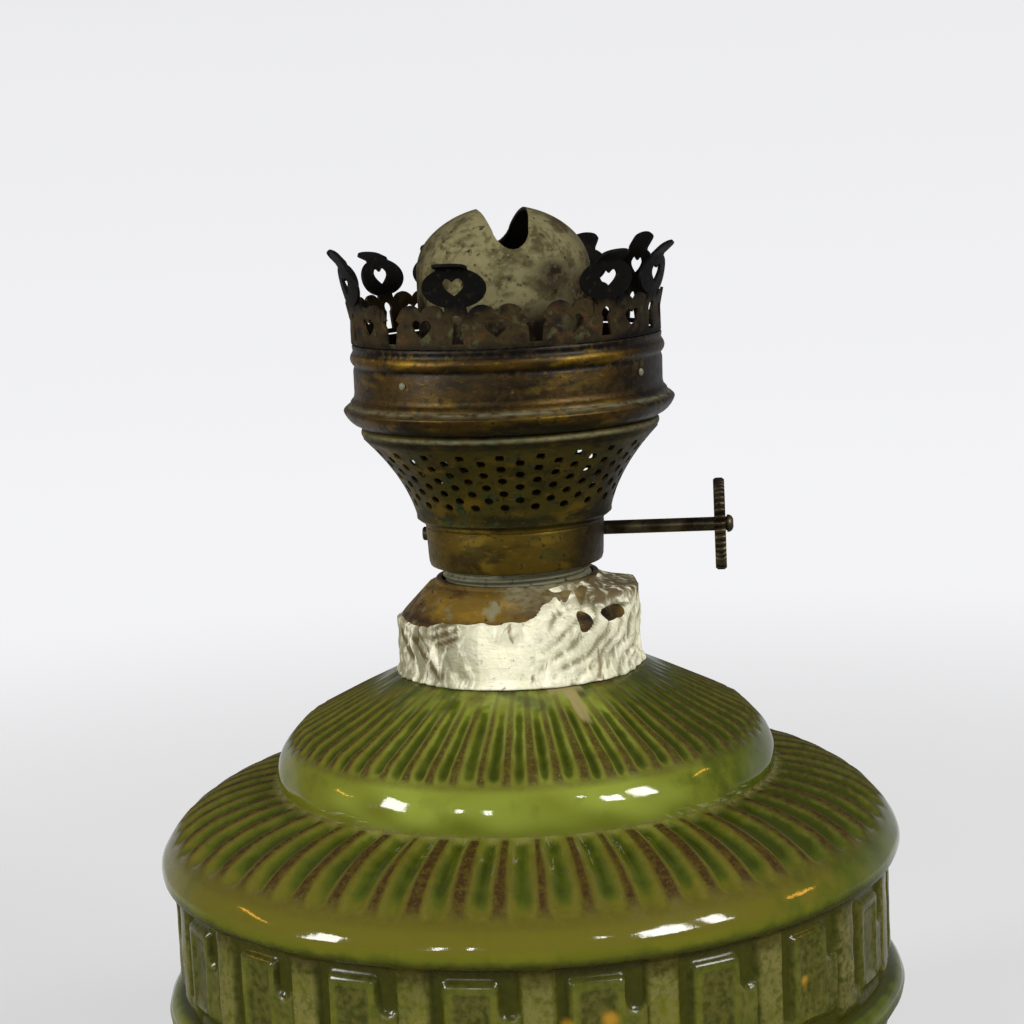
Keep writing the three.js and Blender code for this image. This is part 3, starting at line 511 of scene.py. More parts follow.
def brass_material(
    name, base, dark, bright, green, rough, metal=0.6, stretch=2.2, patch=6.0, burn="17130d", specular=0.35
):
    """Rolled sheet brass, spun or stamped: tarnish in cloudy patches, a little drawn out round the form. It
    is blacker where its mark of heat, soot and painted shade is high, and paler and duller where its dusty
    mark is."""
    material, tree, marks = new_material(name, "burnt", "dusty")
    where, band = object_space(tree), object_space(tree, (stretch, stretch, 1))
    cloud, bloom, verdigris, line, spot = clouds(
        tree, (band, patch, 5, 0), (band, 0.7 * patch, 5, 0.2), (where, 0.5 * patch, 5, 0), (band, 0.9, 5, 0),
        (where, 1.5, 5, 0),
    )
    dusty = cover(tree, line, 0.25, 0.6, marks["dusty"])
    tone = coated(
        tree, dark, (cover(tree, cloud, 0.36, 0.54), base), (cover(tree, bloom, 0.52, 0.68), bright),
        (cover(tree, verdigris, 0.54, 0.68), green), (cover(tree, spot, 0.56, 0.72), "2b2012"),
        (cover(tree, line, 0.6, 0.75), bright), (cover(tree, spot, 0.85, 0.45, marks["burnt"]), burn),
        (dusty, "8b8768"),
    )
    shine = add_node(
        tree, "ShaderNodeMapRange",
        {"Value": spot, "From Min": 0.3, "From Max": 0.7, "To Min": rough - 0.08, "To Max": rough + 0.12},
    ).outputs["Result"]
    dull = add_node(tree, "ShaderNodeMath", {0: dusty, 1: 0.3, 2: shine}, operation="MULTIPLY_ADD").outputs[0]
    finish_surface(
        tree, {"Base Color": tone, "Roughness": dull, "Metallic": metal, "Specular IOR Level": specular},
        [(line, 0.03), (spot, 0.06)],
    )
    return material


def steel_material(colours):
    """Steel wire and disc, browned by age: dark, a little polished where fingers turn it."""
    material, tree, _ = new_material("browned_steel")
    where = object_space(tree)
    cloud, spot = clouds(tree, (where, 4, 5, 0), (where, 1.2, 4, 0))
    tone = coated(
        tree, colours.steel, (cover(tree, cloud, 0.4, 0.62), "5d533c"),
        (cover(tree, spot, 0.6, 0.75), "1d150d"),
    )
    finish_surface(tree, {"Base Color": tone, "Roughness": 0.42, "Metallic": 0.8}, [(cloud, 0.1)])
    return material


def cotton_material(colours, sizes):
    """Flat-woven cotton wick: ribbed yarn along its length, charred at the top and oiled below."""
    material, tree, _ = new_material("woven_cotton")
    where = add_node(tree, "ShaderNodeTexCoord").outputs["Object"]
    upward = add_node(tree, "ShaderNodeSeparateXYZ", {0: where}).outputs["Z"]
    ribs, picks = (
        add_node(
            tree, "ShaderNodeTexWave", {"Vector": where, "Scale": scale / sizes.wick_weave},
            bands_direction=way,
        ).outputs["Fac"]
        for scale, way in ((0.314, "X"), (0.45, "Z"))
    )
    (cloud,) = clouds(tree, (where, 6, 4, 0))
    inputs = {0: cloud, 1: 8 * MM, 2: upward}
    height = add_node(tree, "ShaderNodeMath", inputs, operation="MULTIPLY_ADD").outputs[0]
    tone = coated(
        tree, colours.cotton, (cover(tree, cloud, 0.35, 0.7), "9d8d63"),
        (cover(tree, height, (WICK_TOP - 3) * MM, (WICK_TOP + 2) * MM), "14100c"),
    )
    finish_surface(
        tree, {"Base Color": tone, "Roughness": 0.95, "Sheen Weight": 0.3, "Specular IOR Level": 0.2},
        [(ribs, 0.25), (picks, 0.12)],
    )
    return material


def lamp_materials(scene):
    """Every finish of the lamp, made once."""
    if "olive_lead_glaze" not in bpy.data.materials:
        colours = scene.lamp_colours
        glaze_material(colours)
        plaster_material(colours)
        golden, brown, grey, soot = colours.golden, colours.brown, colours.grey, colours.soot
        for row in (
            ("tarnished_brass", golden, "3b2e08", "705a12", "4a4516", 0.45),
            ("patched_brass", "7c6224", "553f1e", "9a7a22", "857a52", 0.55, 0.5),
            ("green_tarnished_brass", "4c4212", "2e290d", "6a5410", "384324", 0.5),
            ("heat_browned_brass", brown, "30240e", "866a10", "3c3414", 0.42, 0.6, 3.0, 5.0),
            ("blackened_brass", "352b16", "1d1610", "463218", "45442a", 0.65, 0.3, 1.3, 4.5, "0c0b09", 0.15),
            ("oxidised_brass", grey, "57563f", "a9a88e", "6b6f58", 0.6, 0.3, 6.0),
            ("heat_dulled_brass", soot, "4c452c", "857e5a", "5a5836", 0.85, 0.15, 1.2, 5.0, "241a12", 0.15),
        ):
            brass_material(*row)
        steel_material(colours)
        cotton_material(colours, scene.lamp_sizes)
    return bpy.data.materials


# ---------------------------------------------------------------- stage


class LAMP_OT_stage(bpy.types.Operator):
    """Make the floor, the soft lamps, the background and the camera"""

    bl_idname = "lamp.stage"
    bl_label = "Stage"

    def execute(self, context):
        scene = context.scene
        self.lay_floor(scene.lamp_colours.backdrop)
        self.paint_room(scene)
        self.hang_lamps()
        self.stand_camera(scene)
        scene.view_settings.view_transform = "Standard"
        return {"FINISHED"}

    @staticmethod
    def onlookers(tree):
        """Two values: 1 for glossy rays, and 1 for every ray that shows the backdrop."""
        rays = add_node(tree, "ShaderNodeLightPath").outputs
        glossy = rays["Is Glossy Ray"]
        return glossy, highest(tree, rays["Is Camera Ray"], glossy, rays["Is Transmission Ray"])

    def lay_floor(self, backdrop):
        """A pale floor that fades out into the room, dimmer where the front of the lamp mirrors it."""
        deselect()
        bpy.ops.mesh.primitive_circle_add(vertices=96, radius=0.9, fill_type="TRIFAN")
        floor = added("studio_floor")
        material, tree, _ = new_material("pale_floor")
        where = add_node(tree, "ShaderNodeTexCoord").outputs["Object"]
        away = add_node(tree, "ShaderNodeVectorMath", {0: where}, operation="LENGTH").outputs["Value"]
        backward = add_node(tree, "ShaderNodeSeparateXYZ", {0: where}).outputs["Y"]
        glossy, onlooker = self.onlookers(tree)
        dim = cover(tree, backward, 0.3, 0.0, glossy)
        half = coated(tree, [0.5 * c for c in backdrop], (dim, "3c3c3e"))
        glowing = coated(tree, backdrop, (dim, "39393b"))
        matt = add_node(tree, "ShaderNodeBsdfDiffuse", {"Color": half})
        glow = add_node(tree, "ShaderNodeEmission", {"Color": glowing, "Strength": 0.42})
        both = add_node(tree, "ShaderNodeAddShader", {0: matt.outputs[0], 1: glow.outputs[0]})
        plain = add_node(tree, "ShaderNodeBsdfDiffuse", {"Color": shade(backdrop)})
        shown = add_node(tree, "ShaderNodeMixShader", {0: onlooker, 1: plain.outputs[0], 2: both.outputs[0]})
        clear = add_node(tree, "ShaderNodeBsdfTransparent")
        edge = cover(tree, away, 0.25, 0.75)
        fade = add_node(tree, "ShaderNodeMixShader", {0: edge, 1: shown.outputs[0], 2: clear.outputs[0]})
        add_node(tree, "ShaderNodeOutputMaterial", {"Surface": fade.outputs[0]})
        floor.data.materials.append(material)

    def paint_room(self, scene):
        """A pale backdrop for rays that show it, dimmer in mirrored rays, and an even fill for the rest."""
        scene.world = scene.world or bpy.data.worlds.new("studio")
        scene.world.use_nodes = True
        tree = scene.world.node_tree
        tree.nodes.clear()
        glossy, onlooker = self.onlookers(tree)
        direction = add_node(tree, "ShaderNodeTexCoord").outputs["Generated"]
        direction = add_node(tree, "ShaderNodeSeparateXYZ", {0: direction}).outputs
        inputs = {"Value": direction["Z"], "From Min": -1, "From Max": 1}
        height = add_node(tree, "ShaderNodeMapRange", inputs).outputs["Result"]
        wall = add_node(
            tree, "ShaderNodeValToRGB", {"Fac": height},
            stops=((0.0, "e4e4e6"), (1.0, "6a6a6e"), (0.42, "f4f4f6"), (0.53, "ececef"), (0.64, "7c7c80")),
        )
        dim = highest(tree, 0.6, cover(tree, direction["Y"], 0.92, 0.35))
        dim = add_node(tree, "ShaderNodeMath", {0: glossy, 1: dim}, operation="MULTIPLY").outputs[0]
        room = coated(tree, wall.outputs["Color"], (dim, "545458"))
        backdrop = add_node(tree, "ShaderNodeBackground", {"Color": room, "Strength": 1.0})
        fill = add_node(tree, "ShaderNodeBackground", {"Color": (1, 0.99, 0.96, 1), "Strength": 0.44})
        mix = add_node(tree, "ShaderNodeMixShader", {0: onlooker, 1: fill.outputs[0], 2: backdrop.outputs[0]})
        add_node(tree, "ShaderNodeOutputWorld", {"Surface": mix.outputs[0]})

    @staticmethod
    def hang_lamps():
        """Soft lamps in a ring about the lamp's middle, each facing it."""
        middle, reach = Vector((0, 0, 0.12)), 1.2
        # Azimuth and elevation in degrees, width and height in metres, watts and tint.
        lamps = {
            "window_left": (-65, 19, 0.25, 0.36, 6.4, "ffffff"),
            "window_right": (41, 30, 0.22, 0.27, 5.0, "ffffff"),
            "window_right_far": (58, 31, 0.16, 0.27, 3.4, "ffffff"),
            "small_lamp_left": (-30.5, 19, 0.035, 0.2, 0.7, "ffffff"),
            "small_lamp_middle": (-19, 21, 0.035, 0.2, 0.7, "ffffff"),
            "small_lamp_right": (23.5, 40, 0.05, 0.08, 0.35, "ffffff"),
            "warm_lamp_left": (-94, 22, 0.32, 0.03, 0.5, "ffb347"),
            "warm_lamp_right": (91, 26, 0.22, 0.03, 0.35, "ffb347"),
        }
        for name, (azimuth, elevation, wide, tall, watts, tint) in lamps.items():
            a, e = math.radians(azimuth) + VIEW, math.radians(elevation)
            out = Vector((math.sin(a) * math.cos(e), -math.cos(a) * math.cos(e), math.sin(e)))
            bpy.ops.object.light_add(type="AREA", location=middle + reach * out)
            lamp = added(name)
            lamp.rotation_euler = out.to_track_quat("Z", "Y").to_euler()
            lamp.data.shape = "RECTANGLE"
            lamp.data.size, lamp.data.size_y, lamp.data.energy = wide, tall, watts
            lamp.data.color = linear(tint)

    @staticmethod
    def stand_camera(scene):
        """The camera, a little above the lamp and looking slightly down on it."""
        distance, eye_height = 0.5105, 0.23606  # metres
        pitch, yaw, roll = math.radians(-8.84), math.radians(-0.06) - VIEW, math.radians(-2.75)
        bpy.ops.object.camera_add()
        camera = bpy.context.object
        camera.data.sensor_width, camera.data.lens = 36, 84.3
        ahead = Vector((math.sin(yaw) * math.cos(pitch), math.cos(yaw) * math.cos(pitch), math.sin(pitch)))
        level = ahead.cross(Vector((0, 0, 1))).normalized()
        upright = level.cross(ahead)
        right = math.cos(roll) * level + math.sin(roll) * upright
        up = math.cos(roll) * upright - math.sin(roll) * level
        stand = Matrix.Translation((distance * math.sin(VIEW), -distance * math.cos(VIEW), eye_height))
        camera.matrix_world = stand @ Matrix((right, up, -ahead)).transposed().to_4x4()
        scene.camera = camera


# ---------------------------------------------------------------- font

FRET_RADIUS, FRET_LOW, FRET_HIGH = FONT_RADIUS - 3, FOOT + 57, FOOT + 81
FRET_START = math.radians(-15.7)  # azimuth of a unit's left edge
BAR_MIDDLE = 3.6  # of a unit's upright bar, from the unit's left edge
RIM = (FRET_RADIUS + 2.56, FRET_HIGH + 5.61)  # where the lower tier begins
CREASE = (54, FRET_HIGH + 19.2)  # between the lower tier and the bulge
CONE = (48, CREASE[1] + 12.3)  # where the bulge turns into the cone
SHOULDER = NECK_TOP - 9.1
FONT_WALL = 6.5  # measured straight down


def flutes(azimuth, along, radius, count, foot, seed):
    """How far from a flute's middle each point lies, where 1 is the flute's edge. Its foot is round."""
    pitch = TURN / count
    number = np.floor(azimuth / pitch).astype(int) % count
    chance = np.random.default_rng(seed).uniform(-1, 1, (3, count))
    wander = 0.03 * chance[0][number] + 0.02 * ripple(azimuth, along, seed, 20, 60, 0.5)
    across = ((azimuth / pitch) % 1 - 0.5 + wander) * pitch * radius
    half = (0.27 + 0.03 * chance[1][number]) * pitch * radius
    beyond = np.maximum(foot + 0.6 * chance[2][number] + half - along, 0)
    return np.hypot(across, beyond) / half


def fret(across, height, unit):
    """Height of the pressed fret, from 0 on its ground to 1, and its inner panels as a share."""

    def box(left, right, low, high, rounding, edge=0.6):
        """A raised box with rounded corners and eased edges."""
        x = np.abs(across - (left + right) / 2) - (right - left) / 2 + rounding
        z = np.abs(height - (low + high) / 2) - (high - low) / 2 + rounding
        outside = np.hypot(np.maximum(x, 0), np.maximum(z, 0)) + np.minimum(np.maximum(x, z), 0) - rounding
        return 1 - eased(outside, -edge, edge)

    # Left, right, low and high edges of each part of a unit, and how round its corners are.
    bar = box(0.3, 6.9, 0.8, 27.0, 1.2) * (0.8 + 0.2 * np.cos((across - BAR_MIDDLE) / 3.3 * 1.2))
    hook = box(9.6, 20.4, 3.0, 21.6, 0.9)
    panel = box(11.8, 18.4, 5.2, 19.4, 0.8)
    tail = box(19.5, unit + 4, 3.0, 16.2, 0.4)
    notch = box(20.7, 24.1, 14.6, 30, 1.6)
    lower = box(6.0, 10.5, 0.8, 4.4, 0.6)
    relief = np.maximum.reduce([bar, 0.95 * hook - 0.35 * panel, 0.75 * tail, 0.8 * lower])
    return np.maximum(relief - notch, 0), panel


class LAMP_OT_font(bpy.types.Operator):
    """Model the glazed font, with its fluted tiers and its fret"""

    bl_idname = "lamp.font"
    bl_label = "Font"

    def execute(self, context):
        sizes = context.scene.lamp_sizes
        points, first_bowl, first_bead, first_tier, first_bulge = self.outline()
        piece = turned("glazed_font", points, 840)
        radius, azimuth, height = polar(places(piece))
        outline = np.array(points)
        row = np.empty(len(radius), int)
        for start in range(0, len(radius), 8192):
            part = slice(start, start + 8192)
            gaps = np.hypot(radius[part, None] - outline[:, 0], height[part, None] - outline[:, 1])
            row[part] = gaps.argmin(1)
        run = np.gradient(outline, axis=0)
        run /= np.hypot(*run.T)[:, None]
        out = np.stack([run[:, 1], -run[:, 0]], 1)[row]
        lengths = distances(outline)
        along = lengths[row]
        raised, pool, rib, edge, dust, amber = (np.zeros(len(radius)) for _ in range(6))
        uneven = ripple(azimuth, height, 3, 20, 23, 0.9)

        # The lower tier's flutes: wet glaze in them, brown bloom on the ribs, dust in the crease above.
        tier = (row >= first_tier) & (row < first_bulge)
        foot, head = lengths[first_tier] + 5.4, lengths[first_bulge]
        reach = flutes(azimuth, along, radius, sizes.lower_flutes, foot, 1)
        inside = (1 - eased(reach, 0.1, 1.3)) * (1 - eased(along, head - 1.6, head))
        crown = eased(reach, 1.1, 1.75) * eased(along, foot - 1, foot + 3)
        raised[tier] = (-sizes.lower_depth / MM * inside + 0.25 * crown)[tier]
        pool[tier] = (inside * eased(along, foot + 0.5, foot + 7))[tier]
        below = eased(along, foot - 3.4, foot - 1.2) * (1 - eased(along, foot - 0.4, foot + 1.5))
        brown = 0.2 * eased(reach, 0.7, 1.1) + 0.8 * eased(reach + 0.14 * uneven, 1.2, 1.5)
        rib[tier] = np.maximum(brown * eased(along, foot - 2, foot + 3), 0.3 * below)[tier]
        edge[tier] = (0.55 * near(reach, 1.0, 0.2) * eased(along, foot - 1.4, foot - 0.4))[tier]
        settled = eased(along, head - 1.5, head - 0.7) * (1 - eased(along, head - 0.1, head + 0.5))
        dust += settled * (0.8 + 0.4 * uneven) * (row >= first_tier) * (row < first_bulge + 3)

        # The cone's finer flutes, which fade out in blots of brown under the plaster.
        upper = (row >= first_bulge) & (radius > 24) & (height < NECK_TOP - 8)
        foot = head + 10.6
        reach = flutes(azimuth, along, radius, sizes.upper_flutes, foot, 2)
        shallow = 0.4 + (sizes.upper_depth / MM - 0.4) * eased(radius, 32, 50)
        begun = eased(radius, 28.5, 38 + 3 * uneven)
        inside = (1 - eased(reach, 0.15, 1.25)) * begun
        crown = eased(reach, 1.1, 1.75) * eased(along, foot - 1, foot + 3)
        raised[upper] = (-shallow * inside + 0.2 * crown * begun)[upper]
        blot = 0.5 + 0.9 * ripple(azimuth, height, 8, 26, 30, 1.6)
        wet = 0.75 * np.clip(blot, 0, 1) * (1 - begun)
        pool[upper] = np.maximum(inside * eased(along, foot - 0.5, foot + 3), wet)[upper]
        below = 0.35 * eased(along, foot - 1.6, foot - 0.6) * (1 - eased(along, foot - 0.2, foot + 1.2))
        brown = 0.2 * eased(reach, 0.7, 1.1) + 0.8 * eased(reach + 0.16 * uneven, 1.15, 1.45)
        brown *= eased(along, foot - 1.5, foot + 0.5) * (0.45 + 0.55 * begun)
        dry = 0.7 * np.clip(-1.2 * blot + 0.5, 0, 1) * (1 - begun)
        rib[upper] = np.maximum.reduce([0.9 * brown, below, dry])[upper]
        edge[upper] = (0.6 * near(reach, 1.0, 0.2) * begun * eased(along, foot - 1.2, foot - 0.4))[upper]
        cone = upper & (along > foot)

        # The bowl's flutes, round at their upper ends.
        bowl = (row >= first_bowl) & (row < first_bead)
        foot, head = lengths[first_bowl], lengths[first_bead - 1]
        reach = flutes(azimuth, -along, radius, sizes.lower_flutes, 3 - head, 5)
        inside = (1 - eased(reach, 0.3, 1.1)) * eased(along, foot, foot + 6)
        raised[bowl] = -1.1 * inside[bowl]
        pool[bowl] = inside[bowl]
        begun = eased(along, lengths[first_bowl + 1], lengths[first_bowl + 4])
        rib[bowl] = (0.6 * inside.max() * eased(reach, 1.15, 1.5) * begun)[bowl]

        # The fret, with amber runs of iron in its glaze.
        band = (height > FRET_LOW - 0.1) & (height < FRET_HIGH + 0.1) & (radius > FRET_RADIUS - 0.1)
        unit = TURN * FRET_RADIUS / sizes.fret_units
        across = ((azimuth - FRET_START) * FRET_RADIUS) % unit
        relief, panel = fret(across, height - FRET_LOW, unit)
        raised[band] = (sizes.fret_height / MM * relief - 0.8)[band]
        pool[band] = (0.35 + 1.3 * (1 - relief) + 0.4 * panel)[band]
        rib[band] = (0.12 * (1 - eased(relief, 0.1, 0.5)) + 0.15)[band]
        edge[band] = (0.5 * near(relief, 0.66, 0.26))[band]
        bar = eased(relief, 0.6, 0.85) * (np.abs(across - BAR_MIDDLE) < BAR_MIDDLE)
        dust[band] = ((0.18 + 0.36 * bar) * eased(relief, 0.5, 0.9) * (0.8 + 0.3 * uneven))[band]
        for degrees, z, size in (
            (9, 12.6, 1.6), (15, 13.4, 1.9), (8, 8.6, 1.6), (19, 8.2, 1.2), (-24, 10, 1.3), (48, 12, 1.2)
        ):
            far = np.hypot((azimuth - math.radians(degrees)) * FRET_RADIUS, height - FRET_LOW - z)
            amber[band] = np.maximum(amber, 0.9 * (1 - eased(far, 0.3 * size, 1.2 * size)))[band]

        # Painted shade: the glaze is darker and browner in a band under the rim, and has no dust there.
        ledge = FRET_HIGH + 0.5
        under = near(height, ledge, np.where(height > ledge, 1.9, 3.4)) * (radius > FRET_RADIUS - 2)
        pool, rib, dust = pool + 1.4 * under, np.maximum(rib, 0.5 * under), dust * (1 - under)
        seen = azimuth - VIEW
        # Painted shade: darker green glaze towards the knob and on the far left side.
        pool += 0.7 * knobward(azimuth, 0.4, 1.1) + 0.25 * eased(-seen, 0.7, 1.2)
        # Painted light: the glaze on the bulge and the cone is paler and brighter green where it faces the
        # camera, fading towards the sides.
        belly = near(height, CREASE[1] + 5.5, 6.5) * (radius > 46) * (radius < 60)
        fresh = belly + 0.85 * (radius < 46) * (height > CREASE[1])
        fresh *= (1 - eased(np.abs(seen + 0.05), 0.4, 1.15)) * (0.8 + 0.5 * uneven)
        rim = near(height, FRET_HIGH + 6, 2.2) * (radius > 76)

        shown = radius > 24
        raised[shown] += 0.12 * uneven[shown]
        where = ringed(radius + raised * out[:, 0], azimuth, height + raised * out[:, 1])
        on_axis, footing = radius < 0.01, row < first_bowl
        where[on_axis, :2] = 0
        where[on_axis | footing, 2] = height[on_axis | footing]
        place(piece, where)
        mark(
            piece, fresh=np.clip(fresh, 0, 1), pool=pool, rib=rib, edge=edge, dust=np.clip(dust, 0, 1),
            drip=self.drip(seen, radius, height), amber=amber, bare=(height < 1.5) | (radius < 22.4),
            rim=rim + 0.85 * tier + 0.45 * cone,
        )
        glaze = lamp_materials(context.scene)["olive_lead_glaze"]
        finish(piece, "lamp_base", "glaze", glaze, "font_body", degrees=50)
        return {"FINISHED"}

    @staticmethod
    def outline():
        """The font's outline, and the numbers of the points where its bowl, bead, tier and bulge begin."""
        bead_foot = (FRET_RADIUS + 0.5, FRET_LOW - 8.5)
        points = [(0, 3.5), (48.6, 3.5), (50.6, 0.5), (51.5, 0), (57, 0), (58, 1), (58, 5), (57.2, 6.6)]
        first_bowl = len(points)
        points += bend((54.5, 7.75), (72.5, 21.75), bead_foot, 13)
        first_bead = len(points)
        points += bend(bead_foot, (FRET_RADIUS + 6.4, FRET_LOW - 3.4), (FRET_RADIUS, FRET_LOW), 6)
        points += [(FRET_RADIUS, FRET_LOW + z) for z in (0, 0.8, 2.4, 4, 5.6, 7.4, 9.2, 11)]
        points += [(FRET_RADIUS, FRET_LOW + 12 + 0.64 * i) for i in range(18)]
        points += [(FRET_RADIUS, FRET_HIGH), (FRET_RADIUS + 1.2, FRET_HIGH + 0.5)]
        points += bend((FRET_RADIUS + 2.4, FRET_HIGH + 1.36), (FRET_RADIUS + 3.6, FRET_HIGH + 3.4), RIM, 5)
        first_tier = len(points)
        points += bend(RIM, (74, CREASE[1] - 2.7), CREASE, 21)
        first_bulge = len(points)
        points += bend(CREASE, (55.6, CREASE[1] + 6.15), CONE, 12)
        points += [*straight(CONE, (26.9, SHOULDER - 0.3), 12), (26.9, SHOULDER - 0.3)]
        points += [(24.6, SHOULDER), (22.5, SHOULDER), (22.5, NECK_TOP), (18, NECK_TOP)]
        points += [(18, SHOULDER - FONT_WALL), (42.3, CONE[1] - FONT_WALL), (47.5, CREASE[1] - FONT_WALL)]
        points += [(70.5, FRET_HIGH), (70.5, FRET_LOW), (64, 32), (52, 15), (45, 10), (0, 10)]
        return points, first_bowl, first_bead, first_tier, first_bulge

    @staticmethod
    def drip(seen, radius, height):
        """A dribble of thin plaster down the cone, wide under the collar and narrow at its tip."""
        share = np.clip((radius - 26) / 10, 0, 1)
        off = np.abs((seen - np.radians(18.8 + 1.6 * eased(share, 0, 0.4))) * radius)
        half = 2.3 * (1 - eased(share, 0.06, 0.28)) + 1.6 - 0.5 * share
        half += 0.2 * ripple(seen, height, 9, 12, 60, 2)
        on_cone = (1 - eased(radius, 35.6, 36.4)) * (height > NECK_TOP - 23)
        return (1 - eased(off, half - 0.3, half + 0.3)) * on_cone


# ---------------------------------------------------------------- collar and plaster

COLLAR_BORE = THREAD_RADIUS + 0.3
COLLAR_LIP = COLLAR_BORE + 1.1
COLLAR_SHOULDER = COLLAR_TOP - 7
PLASTER_BOTTOM = COLLAR_BOTTOM - 2.6


def collar_face(height):
    """The collar's outer radius at a height."""
    return np.interp(
        height,
        [COLLAR_BOTTOM, COLLAR_SHOULDER - 0.8, COLLAR_SHOULDER, COLLAR_TOP - 0.9, COLLAR_TOP],
        [COLLAR_RADIUS, COLLAR_RADIUS, COLLAR_RADIUS - 0.6, COLLAR_LIP + 0.4, COLLAR_LIP],
    )


class LAMP_OT_collar(bpy.types.Operator):
    """Model the brass collar and the plaster that beds it"""

    bl_idname = "lamp.collar"
    bl_label = "Collar and plaster"

    def execute(self, context):
        made = lamp_materials(context.scene)
        self.spin_collar(made["patched_brass"])
        self.trowel_plaster(made["set_plaster"])
        return {"FINISHED"}

    @staticmethod
    def spin_collar(brass):
        """The collar: a cone with a turned-in lip, dusted with plaster and bare where a splash came off."""
        inner = COLLAR_RADIUS - 0.8
        foot = COLLAR_TOP - 9
        points = [
            (COLLAR_BORE, foot), (COLLAR_LIP - 0.1, foot), (COLLAR_LIP - 0.1, COLLAR_TOP - 2.2),
            (COLLAR_LIP + 0.7, COLLAR_TOP - 2.4), (inner, COLLAR_SHOULDER - 1.2), (inner, COLLAR_BOTTOM),
            (COLLAR_RADIUS, COLLAR_BOTTOM), (COLLAR_RADIUS, COLLAR_SHOULDER - 0.8),
            *straight((COLLAR_RADIUS - 0.6, COLLAR_SHOULDER), (COLLAR_RADIUS - 6.53, COLLAR_TOP - 0.9), 10),
            (COLLAR_LIP + 0.4, COLLAR_TOP - 0.9), (COLLAR_LIP, COLLAR_TOP), (COLLAR_BORE, COLLAR_TOP),
            (COLLAR_BORE, foot),
        ]
        piece = turned("brass_collar", points, 160)
        soften(piece, 0.15)
        _, azimuth, height = polar(places(piece))
        seen = azimuth - VIEW
        dusty = 0.9 * eased(seen, -0.3, 0.0) * (1 - eased(seen, 0.1, 1.2))
        dusty *= eased(height, COLLAR_TOP - 7, COLLAR_TOP)
        splash = np.hypot((seen + 0.27) * 24 / 1.5, (height - COLLAR_TOP + 4.2) / 1.6)
        splash += 0.4 * ripple(azimuth, height, 41, 12, 50, 3)
        rings = np.clip(near(height, COLLAR_TOP - 7, 0.7) + near(height, COLLAR_TOP, 0.9), 0, 1)
        holed = near(seen, 0.78, 0.32) * near(height, COLLAR_BOTTOM + 10.4, 2.2)
        mark(
            piece, dusty=np.maximum(dusty, 1.6 * (1 - eased(splash, 0.6, 1.1))),
            burnt=np.maximum(0.55 * rings, 1.2 * holed),
        )
        finish(piece, "lamp_base", "aged_brass", brass, "collar")

    @staticmethod
    def trowel_plaster(plaster):
        """The plaster bed: a ragged upper edge, holes, flakes and the strokes and scrapes of a tool."""
        floor = PLASTER_BOTTOM
        heights = [floor + (COLLAR_TOP - 0.2 - floor) * i / 45 for i in range(46)]
        face = [float(collar_face(z)) if z > COLLAR_BOTTOM else COLLAR_RADIUS for z in heights]
        points = [(COLLAR_RADIUS - 2.6, floor)]
        points += [(r + 1, z) for r, z in zip(face, heights)]
        points += [(r - 0.5, z) for r, z in zip(face[::-1], heights[::-1]) if z > COLLAR_BOTTOM]
        points += [(COLLAR_RADIUS - 2.6, COLLAR_BOTTOM), (COLLAR_RADIUS - 2.6, floor)]
        piece = turned("plaster_bed_trowelled", points, 300)
        radius, azimuth, height = polar(places(piece))
        face = np.where(height > COLLAR_BOTTOM, collar_face(height), COLLAR_RADIUS)
        outer = radius > face + 0.3
        degrees, up = np.degrees(azimuth - VIEW), height - floor
        # The upper edge: degrees from the camera's azimuth, and millimetres above the plaster's foot.
        edge = np.array([
            (-180, 12), (-110, 12), (-80, 11.8), (-63, 11.7), (-50, 12), (-45, 12.5), (-41, 12.9), (-34, 13),
            (-29, 13), (-26, 13.2), (-20, 13.5), (0, 13.7), (8, 14), (11, 15.4), (14, 17.8), (22, 19),
            (34, 19.4), (96, 19.2), (108, 16), (124, 14.2), (140, 13), (180, 12),
        ])
        rough = ripple(azimuth, height, 11, 26, 34, 1.4)
        coarse = ripple(azimuth, height, 12, 16, 12, 0.8)
        top = floor + np.interp(degrees, *edge.T) + 0.3 * ripple(azimuth, 0 * height, 13, 18, 30)
        there = 1 - eased(height, top - 0.4, top + 0.4)
        for middle, z, wide, tall in ((33, 12.6, 5.5, 2.3), (54, 13.2, 11, 1.5), (-57, 9, 1.6, 3.2)):
            hole = np.hypot((degrees - middle) / wide, (up - z) / tall) + 0.28 * rough
            there *= eased(hole, 0.75, 1.1)
        lump = eased(degrees, 42, 66) * (1 - eased(degrees, 104, 124)) * (1 - eased(up, 16.6, 19))
        body = (COLLAR_RADIUS - 0.1 - face) * lump
        foot = 0.9 * near(height, floor, 1.1)
        flake = 1.6 * ripple(azimuth, height, 14, 18, 11, 0.7) + 0.3 * rough
        flake = (np.floor(flake) + eased(flake - np.floor(flake), 0.6, 1)) / 1.6
        across = COLLAR_RADIUS * azimuth
        left = np.cos(TURN / 2.6 * (0.9 * across + 0.45 * height + 0.9 * coarse))
        right = np.cos(TURN / 3.1 * (0.6 * across - 0.8 * height + 1.1 * coarse))
        side = eased(degrees, 0, 22)
        stroke = left * (1 - eased(degrees, -42, -26)) * (1 - side) + right * side
        thick = 0.75 + body + foot + 0.3 * flake + 0.07 * rough + 0.2 * stroke
        thick = there * np.maximum(thick, 0.25) - 0.4 * (1 - there)
        lowest = np.isclose(height, floor) & outer
        height = np.where(lowest, height + 0.25 * coarse, height)
        place(piece, ringed(np.where(outer, face + thick, radius), azimuth, height))

